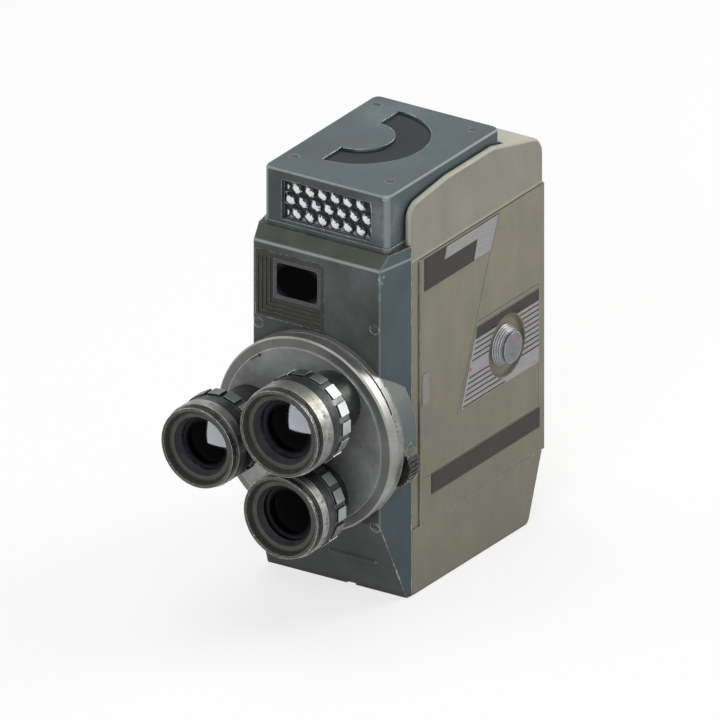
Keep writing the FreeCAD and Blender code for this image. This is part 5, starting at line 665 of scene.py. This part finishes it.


# moulded honeycomb: dark lenslets, each with the same two bright ragged glints and a grey one, all painted
# highlights
def honeycombAcrylic(name, look):
    material, tree, shader = startMaterial(name)
    place = addNode(tree, "TexCoord").outputs["Object"]
    local = addNode(tree, "Mapping", {"Vector": place, "Location": tuple(-c for c in look["middle"])})
    parts = addNode(tree, "SeparateXYZ", {0: local}).outputs
    # where a point lies in its own lenslet, every second row half a pitch aside
    across = addNode(tree, "Math", {0: parts["X"], 1: look["pitch"] * mm}, operation="DIVIDE")
    upwards = addNode(tree, "Math", {0: parts["Z"], 1: look["row"] * mm}, operation="DIVIDE")
    row = addNode(tree, "Math", {0: upwards}, operation="ROUND")
    odd = addNode(tree, "Math", {0: row}, operation="ABSOLUTE")
    shifted = addNode(tree, "Math", {0: odd, 1: -0.5, 2: across}, operation="MULTIPLY_ADD")
    column = addNode(tree, "Math", {0: shifted}, operation="ROUND")
    sideways = addNode(tree, "Math", {0: shifted, 1: column}, operation="SUBTRACT")
    rise = addNode(tree, "Math", {0: upwards, 1: row}, operation="SUBTRACT")
    cell = addNode(tree, "CombineXYZ", {0: sideways, 1: rise})
    cell = addNode(tree, "VectorMath", {0: cell, 1: (look["pitch"], look["row"], 0)}, operation="MULTIPLY")
    fromMiddle = addNode(tree, "VectorMath", {0: cell}, operation="LENGTH")
    streaks = addNode(tree, "TexNoise", {"Vector": place, "Scale": 1 / (look["streakMm"] * mm),
                                         "Detail": 2.0})
    tone = addNode(tree, "Mix", {0: streaks, 6: look["deep"], 7: look["streak"]}, data_type="RGBA")
    between = addNode(tree, "MapRange", {0: fromMiddle, 1: look["seamFrom"], 2: look["seamTo"]})
    tone = addNode(tree, "Mix", {0: between, 6: tone, 7: look["seam"]}, data_type="RGBA")
    # painted light pools along the lower edge and at the left end, between the lenslets
    low, left = (addNode(tree, "MapRange", {0: parts[axis], 1: start * mm, 2: end * mm})
                 for axis, start, end in look["pools"])
    pools = addNode(tree, "Math", {0: low, 1: left}, operation="MAXIMUM")
    pools = addNode(tree, "Math", {0: pools, 1: between}, operation="MULTIPLY")
    tone = addNode(tree, "Mix", {0: pools, 6: tone, 7: look["pool"]}, data_type="RGBA")
    # no glints beyond the last column
    ragged = addNode(tree, "TexNoise", {"Vector": place, "Scale": 1 / (look["raggedMm"] * mm), "Detail": 2.5})
    column = addNode(tree, "Math", {0: across}, operation="ABSOLUTE")
    column = addNode(tree, "Math", {0: column, 1: look["lastColumn"]}, operation="LESS_THAN")
    for spot, stretch, edge, colour in look["glints"]:
        away = addNode(tree, "VectorMath", {0: cell, 1: spot}, operation="SUBTRACT")
        away = addNode(tree, "VectorMath", {0: away, 1: stretch}, operation="MULTIPLY")
        away = addNode(tree, "VectorMath", {0: away}, operation="LENGTH")
        reach = addNode(tree, "Math", {0: ragged, 1: look["raggedness"], 2: away}, operation="MULTIPLY_ADD")
        glint = addNode(tree, "MapRange", {0: reach, 1: edge, 2: edge - look["glintSoft"]})
        glint = addNode(tree, "Math", {0: glint, 1: column}, operation="MULTIPLY")
        tone = addNode(tree, "Mix", {0: glint, 6: tone, 7: colour}, data_type="RGBA")
    ripple = addNode(tree, "Bump", {"Height": streaks, "Distance": look["rippleDepth"] * mm})
    setInputs(tree, shader, {"Base Color": tone, "Roughness": 0.2, "IOR": 1.49, "Specular IOR Level": 0.15,
                             "Normal": ripple})
    return material


combLow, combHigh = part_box("honeycomb_lens")
combMiddle = (combLow + combHigh) / 2 / mm
combAcrylic = honeycombAcrylic("mouldedHoneycombAcrylic", {
    "middle": at(combMiddle.x, 0, combMiddle.z), "pitch": 5.35, "row": 4.9, "lastColumn": 3.3,
    "deep": "#0E1010", "streak": "#33373A", "streakMm": 0.5, "rippleDepth": 0.01,
    "seam": "#333331", "seamFrom": 2.5, "seamTo": 3.0,
    "pool": "#A7A3A3", "pools": [("Z", -5.6, -7.2), ("X", -16.6, -18.2)],
    # where each glint lies in its lenslet, how it is squeezed, how far it reaches, its tone
    "raggedMm": 0.75, "raggedness": 2.6, "glintSoft": 0.2,
    "glints": [((-1.3, 1.3, 0), (1.1, 1.4, 0), 2.05, "#8C8E8E"),
               ((-0.3, 0.2, 0), (1.2, 0.95, 0), 2.6, "#E2E3E0"),
               ((0.65, -0.6, 0), (1.1, 0.9, 0), 2.55, "#E2E3E0")]})
dress(combAcrylic, "honeycomb_lens")
inkBlack = plainSurface("blackEngravingFill", {
    "colour": "#262522", "shade": "#1E1D1B", "grainMm": 0.7, "roughLow": 0.5, "roughHigh": 0.65})
inkPale = plainSurface("whiteDialPrint", {
    "colour": "#B9B8B0", "shade": "#A3A29A", "grainMm": 0.7, "roughLow": 0.5, "roughHigh": 0.65})
inkGrey = plainSurface("wornEngravingFill", {
    "colour": "#6B6A62", "shade": "#57564F", "grainMm": 0.7, "roughLow": 0.45, "roughHigh": 0.6})
groovePaint = plainSurface("dirtInEngravedLine", {
    "colour": "#4C493C", "shade": "#413E33", "grainMm": 1.2, "roughLow": 0.6, "roughHigh": 0.75,
    "gloss": 0.1})
# rubbed beige with a painted highlight, laid beside each engraved groove
rubbedAndLitBeige = plainSurface("rubbedAndLitBeigeEnamel", {
    "colour": "#8F8D7E", "shade": "#868475", "grainMm": 1.5, "roughLow": 0.4, "roughHigh": 0.5,
    "gloss": 0.25})
markRed = plainSurface("redIndexPaint", {
    "colour": "#9A5A58", "shade": "#8A5250", "grainMm": 0.6, "roughLow": 0.45, "roughHigh": 0.6})
frameMetal = plainSurface("pressedBrightFrame", {
    "colour": "#363839", "shade": "#2E2F30", "edge": "#5A5B5E", "grainMm": 1.5, "metallic": 0.3,
    "gloss": 0.25,
    "roughLow": 0.34, "roughHigh": 0.45})
chromeStrip = plainSurface("polishedFrameStrip", {
    "colour": "#7C7978", "shade": "#4A4847", "edge": "#B4B2B0", "grainMm": 0.8, "metallic": 1.0,
    "roughLow": 0.2, "roughHigh": 0.35})
print("all materials ready")


# Geometry Nodes trees for what repeats

def startTree(name, sockets):
    tree = bpy.data.node_groups.new(name, "GeometryNodeTree")
    tree.is_modifier = True
    for label, kind in sockets:
        tree.interface.new_socket(name=label, in_out="INPUT", socket_type=kind)
    tree.interface.new_socket(name="Geometry", in_out="OUTPUT", socket_type="NodeSocketGeometry")
    return tree, addNode(tree, "NodeGroupInput").outputs


def endTree(tree, geometry, material):
    whole = addNode(tree, "GeometryNodeRealizeInstances", {"Geometry": geometry})
    dressed = addNode(tree, "GeometryNodeSetMaterial", {"Geometry": whole, "Material": material})
    addNode(tree, "NodeGroupOutput", {"Geometry": dressed})


# copies round local Y, each turned to face outwards
ringTree, given = startTree("marksInRing", [
    ("Geometry", "NodeSocketGeometry"), ("Count", "NodeSocketInt"), ("Radius", "NodeSocketFloat"),
    ("First Angle", "NodeSocketFloat"), ("Step Angle", "NodeSocketFloat"), ("Material", "NodeSocketMaterial")])
number = addNode(ringTree, "GeometryNodeInputIndex").outputs[0]
angle = addNode(ringTree, "Math", {0: number, 1: given["Step Angle"], 2: given["First Angle"]},
                operation="MULTIPLY_ADD").outputs[0]
across = addNode(ringTree, "Math", {0: angle}, operation="COSINE")
upwards = addNode(ringTree, "Math", {0: angle}, operation="SINE")
spoke = addNode(ringTree, "CombineXYZ", {0: across, 2: upwards})
spot = addNode(ringTree, "VectorMath", {0: spoke, "Scale": given["Radius"]}, operation="SCALE")
turn = addNode(ringTree, "Math", {0: angle, 1: -1.0}, operation="MULTIPLY")
facing = addNode(ringTree, "CombineXYZ", {1: turn})
points = addNode(ringTree, "GeometryNodePoints", {"Count": given["Count"], "Position": spot})
copies = addNode(ringTree, "GeometryNodeInstanceOnPoints",
                 {"Points": points, "Instance": given["Geometry"], "Rotation": facing})
endTree(ringTree, copies, given["Material"])

# slats stacked by a step, each a little longer than the one before, with cut-outs taken from all of them
slatTree, given = startTree("slatsOnPlate", [
    ("Geometry", "NodeSocketGeometry"), ("Count", "NodeSocketInt"), ("Start", "NodeSocketVector"),
    ("Step", "NodeSocketVector"), ("Length", "NodeSocketFloat"), ("Growth", "NodeSocketFloat"),
    ("Cutter", "NodeSocketObject"), ("Material", "NodeSocketMaterial")])
number = addNode(slatTree, "GeometryNodeInputIndex").outputs[0]
shift = addNode(slatTree, "VectorMath", {0: given["Step"], "Scale": number}, operation="SCALE")
spot = addNode(slatTree, "VectorMath", {0: given["Start"], 1: shift}, operation="ADD")
length = addNode(slatTree, "Math", {0: number, 1: given["Growth"], 2: given["Length"]},
                 operation="MULTIPLY_ADD")
stretch = addNode(slatTree, "CombineXYZ", {0: 1.0, 1: length, 2: 1.0})
points = addNode(slatTree, "GeometryNodePoints", {"Count": given["Count"], "Position": spot})
copies = addNode(slatTree, "GeometryNodeInstanceOnPoints",
                 {"Points": points, "Instance": given["Geometry"], "Scale": stretch})
solid = addNode(slatTree, "GeometryNodeRealizeInstances", {"Geometry": copies})
tool = addNode(slatTree, "GeometryNodeObjectInfo", {"Object": given["Cutter"]})
opened = addNode(slatTree, "GeometryNodeMeshBoolean", {"Mesh 1": solid, "Mesh 2": tool.outputs["Geometry"]},
                 operation="DIFFERENCE")
endTree(slatTree, opened, given["Material"])


# a seed mesh run through a tree, made a plain mesh and put in its place
def growPiece(name, seed, tree, values, matrix, body):
    maker = addObject(name, seed)
    grow = maker.modifiers.new("grow", "NODES")
    grow.node_group = tree
    for item in tree.interface.items_tree:
        if item.item_type == "SOCKET" and item.in_out == "INPUT" and item.name in values:
            grow[item.identifier] = values[item.name]
    mesh = bakedMesh(maker)
    maker.modifiers.remove(grow)
    mesh.transform(matrix)
    maker.data = mesh
    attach(maker, body)


print("node trees ready")


# a short mark across a round wall, sunk a little into it
def markSeed(name, wide, long, lift, sunk=0.05):
    return blockMesh(name, (-sunk, 0, -wide / 2), (lift, long, wide / 2))


# a seed mesh repeated round a centre: how many, how far out in mm, from what angle and by what step
def growRing(name, seed, ring, material, matrix, body):
    growPiece(name, seed, ringTree, {
        "Count": ring["count"], "Radius": ring["radius"] * mm, "First Angle": math.radians(ring["first"]),
        "Step Angle": math.radians(ring["step"]), "Material": material}, matrix, body)


# lens details

mouth = {
    # (in from the rim, behind the front): a baffled cone, a brown-grey retaining ring, then a dark wall
    "profile": [(1.04, 0.05), (1.3, 0.05), (1.34, 0.6), (1.62, 0.62), (1.66, 1.2), (1.94, 1.22), (2.0, 1.7),
                (2.45, 1.8), (2.55, 1.98), (3.95, 2.15), (4.08, 2.3), (4.3, 3.2),
                (4.7, 4.2), (5.06, 4.95), (5.0, 5.1), (2.1, 2.25)],
    "paleFrom": 4.02, "paleTo": 2.55, "gap": 0.15, "steps": 128,
}
figures = {
    "normal": ["1.9", "2.8", "4", "5.6", "8", "11", "16"],
    "tele": ["2.5", "4", "5.6", "8", "11", "16", "22"],
    "wide": ["1.9", "2.8", "4", "5.6", "8", "11", "16"],
    "height": 1.5, "thick": 0.05, "lift": 0.03, "behindMiddle": 0.4, "first": -75, "step": 26,
    "tick": (0.22, 0.9), "ticksPerFigure": 2, "tickStart": 0.15,
}
bandMarks = {"count": 6, "inwards": 0.3, "first": -40, "step": 19, "behind": 1.3, "mark": (0.24, 1.1),
             "lift": 0.04}


def wrapNumber(words, look, radius, middle, angle):
    mesh = numberMesh(words, figures["height"], figures["thick"])
    centre = look["centre"]
    for point in mesh.vertices:
        around = math.radians(angle) + point.co.x / (radius * mm)
        reach = (radius + figures["lift"]) * mm + point.co.z
        point.co = (centre.x + reach * math.cos(around), centre.y + middle * mm - point.co.y,
                    centre.z + reach * math.sin(around))
    return mesh


for lens, look in lensLooks.items():
    rim, centre = look["rim"], look["centre"]
    place = towards(centre, (0, 1, 0))
    mouthMetal = turnedMetal(f"baffledMouthMetal_{lens}", {
        **metalBase, "metal": "#32322F", "stain": "#292927", "stainMm": 5, "lineMm": 0.5, "lineTone": 0.1,
        "edge": "#4C4B46", "edgeMm": 0.2, "chipFrom": 0.72, "chipTo": 1.0, "softMm": 0.06,
        "roughLow": 0.45, "roughHigh": 0.6, "metallic": 0.0, "gloss": 0.15}, centre,
        [("radius", rim - mouth["paleFrom"], rim - mouth["paleTo"], "#504D47", 0.45),
         ("radius", 0, rim - mouth["paleFrom"] - mouth["gap"], "#3E3E41", 0.5)])
    profile = [(rim - inward, depth) for inward, depth in mouth["profile"]]
    mesh = turnedMesh(f"{lens}_mouth_ring", profile, place, mouth["steps"])
    addPiece(f"{lens}_mouth_ring", mesh, mouthMetal, "turret")
    # engraved figures and their ticks on the scale ring
    radius = rim + scaleRise
    middle = (look["scaleLow"] + look["scaleHigh"]) / 2
    marks = []
    for number, words in enumerate(figures[lens]):
        angle = figures["first"] + number * figures["step"]
        marks.append(wrapNumber(words, look, radius, middle + figures["behindMiddle"], angle))
    addPiece(f"{lens}_scale_figures", joinMeshes(f"{lens}_scale_figures", marks), inkGrey, f"{lens}_scale")
    seed = markSeed("tick", *figures["tick"], figures["lift"])
    behind = look["scaleLow"] + figures["tickStart"]
    growRing(f"{lens}_scale_ticks", seed, {
        "count": len(figures[lens]) * figures["ticksPerFigure"], "radius": radius, "first": figures["first"],
        "step": figures["step"] / figures["ticksPerFigure"]},
        inkGrey, Matrix.Translation(centre + Vector((0, behind * mm, 0))), f"{lens}_scale")
    # short index marks on the fixed band in front
    seed = markSeed("tick", *bandMarks["mark"], bandMarks["lift"])
    growRing(f"{lens}_band_marks", seed, {**bandMarks, "radius": rim - bandMarks["inwards"]}, inkGrey,
             Matrix.Translation(centre + Vector((0, bandMarks["behind"] * mm, 0))), "turret")
print("lens details ready")


# turret details

# index arrow cut into the disc's face, and short marks at the end of the seat ring's slot
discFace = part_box("turret_disc")[0].y
arrow = {"tail": (-22.1, 24.0), "tip": (-17.0, 27.5), "half": 0.22, "headLong": 1.9, "headHalf": 0.85,
         "lift": 0.03}
start, end = Vector(arrow["tail"]), Vector(arrow["tip"])
along = (end - start).normalized()
side = Vector((-along.y, along.x))
neck = end - along * arrow["headLong"]
outline = [start - side * arrow["half"], neck - side * arrow["half"], neck - side * arrow["headHalf"], end,
           neck + side * arrow["headHalf"], neck + side * arrow["half"], start + side * arrow["half"]]
lift = arrow["lift"] * mm
corners = [Vector((turretCentre.x + p.x * mm, discFace - lift, turretCentre.z + p.y * mm)) for p in outline]
mesh = plateMesh("disc_arrow", corners, Vector((0, 2 * lift, 0)))
addPiece("disc_arrow", mesh, inkBlack, "turret")
ringMarks = {"count": 3, "radius": 36.6, "first": 12, "step": 3, "behind": 0.9, "mark": (0.3, 1.3),
             "lift": 0.03}
seed = markSeed("mark", *ringMarks["mark"], ringMarks["lift"])
growRing("ring_marks", seed, ringMarks, inkBlack,
         Matrix.Translation(turretCentre + Vector((0, ringMarks["behind"] * mm, 0))), "camera")
print("turret details ready")


# viewfinder and meter details

def frameRing(name, outer, inner, y, thick):
    # outer and inner are (left, right, bottom, top) in mm
    def loop(edges, depth):
        left, right, bottom, top = edges
        return [at(left, depth, bottom), at(right, depth, bottom), at(right, depth, top), at(left, depth, top)]

    points = loop(outer, y) + loop(inner, y) + loop(outer, y + thick) + loop(inner, y + thick)
    faces = []
    for i in range(4):
        j = (i + 1) % 4
        faces += [(i, j, j + 4, i + 4), (i + 8, j + 8, j + 12, i + 12), (i, j, j + 8, i + 8),
                  (i + 4, j + 4, j + 12, i + 12)]
    return tidyMesh(rawMesh(name, points, faces))


window = {"outer": (-18.5, 1.3, 109.75, 124.95), "inner": (-17.25, 0.05, 111.0, 123.7), "behind": -15.62,
          "deep": 0.3}
mesh = frameRing("window_frame", window["outer"], window["inner"], window["behind"], window["deep"])
addPiece("window_frame", mesh, frameMetal, "camera")
# bright strip inside the cell's window: the comb reaches under its edge, and its lenslets stand out
strip = {"lap": 0.9, "wide": 0.45, "high": 0.35, "behindTips": 0.7, "deep": 0.8}
left, right = combLow.x / mm + strip["lap"], combHigh.x / mm - strip["lap"]
bottom, top = combLow.z / mm + strip["lap"], combHigh.z / mm - strip["lap"]
inner = (left + strip["wide"], right - strip["wide"], bottom + strip["high"], top - strip["high"])
tips = (combLow.y - seamY) / mm
mesh = frameRing("comb_frame", (left, right, bottom, top), inner, tips + strip["behindTips"], strip["deep"])
addPiece("comb_frame", mesh, chromeStrip, "camera")

# printed scale under the half-ring window
scale = {"radius": 21.5, "count": 29, "first": -70, "step": 5,
         "figures": ["1", "2", "4", "8", "16", "32", "64"], "figureRadius": 18.6, "figureFirst": -60,
         "figureStep": 20, "height": 1.9, "thick": 0.04}
dialSpot = at(*dialAxis, dialHigh.z / mm)
flatRing = Matrix.Translation(dialSpot) @ Matrix.Rotation(math.radians(90), 4, "X")
seed = blockMesh("mark", (0, -0.02, -0.12), (1.6, 0.02, 0.12))
growRing("meter_scale", seed, scale, inkPale, flatRing, "camera")
marks = []
for number, words in enumerate(scale["figures"]):
    angle = math.radians(scale["figureFirst"] + scale["figureStep"] * number)
    mesh = numberMesh(words, scale["height"], scale["thick"])
    spot = dialSpot + Vector((math.cos(angle), math.sin(angle), 0)) * scale["figureRadius"] * mm
    mesh.transform(Matrix.Translation(spot) @ Matrix.Rotation(angle - math.pi / 2, 4, "Z"))
    marks.append(mesh)
addPiece("meter_figures", joinMeshes("meter_figures", marks), inkPale, "camera")
print("viewfinder and meter details ready")


# door furniture

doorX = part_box("film_door")[1].x / mm
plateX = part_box("stripe_plate")[1].x / mm


def doorPlate(name, outline, fromX, toX, material):
    corners = [at(fromX, behind, z) for behind, z in outline]
    addPiece(name, plateMesh(name, corners, Vector(((toX - fromX) * mm, 0, 0))), material, "door")


def lineOutline(start, end, width):
    start, end = Vector(start), Vector(end)
    along = (end - start).normalized()
    side = Vector((-along.y, along.x)) * width / 2
    return [start - side, end - side, end + side, start + side]


# a disc facing +X, half of its thickness on either side of a spot
def discMesh(name, radius, half, spot, steps):
    profile = [(0.001, -half), (radius, -half), (radius, half), (0.001, half)]
    return turnedMesh(name, profile, towards(spot, (1, 0, 0)), steps)


# engraved lines: a dirt-filled groove with a rubbed edge beside it, which also carries a painted highlight
grooves = {
    "width": 0.3, "fineWidth": 0.18, "edgeWidth": 0.32, "edgeShift": 0.3, "sunk": 0.05, "lift": 0.015,
    "edgeLift": 0.01,
    "lines": {
        "slant": ((51.2, 114.7), (29.4, 58.8)), "border": ((42.3, 90.3), (82.4, 90.3)),
        "upright": ((82.4, 90.3), (82.4, 42.8)), "lowerBorder": ((7.6, 42.8), (82.4, 42.8)),
        "frontUpright": ((6.0, 33.5), (6.0, 126.5)),
    },
}
for name, (start, end) in grooves["lines"].items():
    width = grooves["fineWidth"] if name == "frontUpright" else grooves["width"]
    bottom = doorX - grooves["sunk"]
    doorPlate(f"groove_{name}", lineOutline(start, end, width), bottom, doorX + grooves["lift"], groovePaint)
    shift = Vector((1, 0)) if name in ("slant", "upright", "frontUpright") else Vector((0, 1))
    shift *= grooves["edgeShift"]
    outline = lineOutline(Vector(start) + shift, Vector(end) + shift, grooves["edgeWidth"])
    doorPlate(f"groove_edge_{name}", outline, bottom, doorX + grooves["edgeLift"], rubbedAndLitBeige)

# nameplate: a dark field with a paler slanted panel, left bare
namePanel = {
    "sunk": 0.02, "lift": 0.03,
    "outline": [(40.0, 114.9), (50.9, 114.9), (56.1, 126.9), (22.5, 126.9), (20.9, 122.4), (42.4, 122.4)],
}
doorPlate("name_panel", namePanel["outline"], plateX - namePanel["sunk"], plateX + namePanel["lift"], paleEtch)
# striped plate: dark band on top and dark slats, open round the knob's recess and at the two label places
band = [(40.95, 83.9), (82.0, 83.9), (82.0, 88.3), (42.1, 88.3)]
cutDepth = 0.4
stripes = {
    "count": 12, "pitch": 1.975, "thick": 0.55, "top": 82.4, "frontAtTop": 40.6, "lean": 0.372, "back": 82.0,
    "hole": (61.3, 74.0, 11.9), "labels": [((20.0, 71.1), (58.0, 76.0)), ((60.0, 59.0), (90.0, 65.6))],
    "labelShift": -0.5, "frontShift": 0.5, "sunk": 0.02, "lift": 0.04, "bandThick": 0.05,
}
holeBehind, holeUp, holeRadius = stripes["hole"]
cutters = [discMesh("cutter", holeRadius, cutDepth, at(plateX, holeBehind, holeUp), 64)]
bandBottom = [at(plateX - stripes["sunk"], behind, z) for behind, z in band]
bandMesh = plateMesh("stripe_band", bandBottom, Vector((stripes["bandThick"] * mm, 0, 0)))


def cutAway(name, base, tool):
    keeper = addObject(name, base)
    knife = addObject("knife", tool)
    cut = keeper.modifiers.new("cut", "BOOLEAN")
    cut.operation = "DIFFERENCE"
    cut.solver = "EXACT"
    cut.object = knife
    mesh = bakedMesh(keeper)
    bpy.data.objects.remove(keeper)
    bpy.data.objects.remove(knife)
    return mesh


addPiece("stripe_band", cutAway("stripe_band", bandMesh, cutters[0]), darkEtch, "door")
for (front, bottom), (back, top) in stripes["labels"]:
    outline = [(front, bottom), (back, bottom), (back, top), (front, top)]
    corners = [at(plateX - cutDepth, behind, z) for behind, z in outline]
    cutters.append(plateMesh("cutter", corners, Vector((2 * cutDepth * mm, 0, 0))))
cutters[1].transform(Matrix.Translation((0, stripes["labelShift"] * mm, 0)))
knife = addObject("knife", joinMeshes("knife", cutters))
# one slat a metre long, which the tree scales to its length
half = stripes["thick"] / 2 * mm
inside, outside = -stripes["sunk"] * mm, stripes["lift"] * mm
section = [(inside, 0), (outside, 0), (outside, 1), (inside, 1)]
seed = rawMesh("slat", [(x, y, z) for z in (-half, half) for x, y in section], [
    (3, 2, 1, 0), (4, 5, 6, 7), (0, 1, 5, 4), (1, 2, 6, 5), (2, 3, 7, 6), (3, 0, 4, 7)])
front = stripes["frontAtTop"] + stripes["frontShift"]
growPiece("stripe_slats", seed, slatTree, {
    "Count": stripes["count"], "Start": at(plateX, front, stripes["top"]),
    "Step": (0.0, -stripes["pitch"] * stripes["lean"] * mm, -stripes["pitch"] * mm),
    "Length": (stripes["back"] - front) * mm, "Growth": stripes["pitch"] * stripes["lean"] * mm,
    "Cutter": knife, "Material": darkEtch,
}, Matrix.Identity(4), "door")
bpy.data.objects.remove(knife)
# red index dot beside the knob, and one on its face
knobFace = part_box("lock_knob")[1].x / mm
dotLift = 0.03
for name, spotYZ, x, radius, body, slot in (
        ("stripe_index", (37.6, 73.5), plateX, 0.9, "door", "stripe_face"),
        ("knob_index", (61.3, 76.6), knobFace, 0.7, "lock", "knob_metal")):
    addPiece(name, discMesh(name, radius, dotLift, at(x, *spotYZ), 32), markRed, body)
print("door furniture ready")


# dials on the other side

def sideFigures(name, words, centre, x, ringRadius, height, first, step, body, thick=0.06):
    parts = []
    for number, word in enumerate(words):
        angle = math.radians(first + step * number)
        mesh = numberMesh(word, height, thick)
        # facing -X: text's right runs towards +Y turned round the dial's axis
        turn = Matrix(((0, 0, -1, 0), (-1, 0, 0, 0), (0, 1, 0, 0), (0, 0, 0, 1)))
        spin = Matrix.Rotation(angle, 4, "X")
        outwards = Matrix.Translation((0, 0, ringRadius * mm))
        mesh.transform(Matrix.Translation(at(x, *centre)) @ spin @ outwards @ turn)
        parts.append(mesh)
    addPiece(name, joinMeshes(name, parts), inkPale, body)


def axisOf(name):
    low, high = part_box(name)
    return ((low.y + high.y) / 2 - seamY) / mm, (low.z + high.z) / 2 / mm


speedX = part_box("speed_dial")[0].x / mm
sideFigures("speed_figures", ["8", "12", "16", "24", "32", "48", "64"], axisOf("speed_dial"), speedX,
            4.9, 1.5, 0, 51.4, "speed")
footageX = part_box("footage_dial")[0].x / mm
sideFigures("footage_figures", ["0", "5", "10", "15", "20", "25"], axisOf("footage_dial"), footageX,
            6.6, 2.0, 0, 60, "footage")
print("dial figures ready")
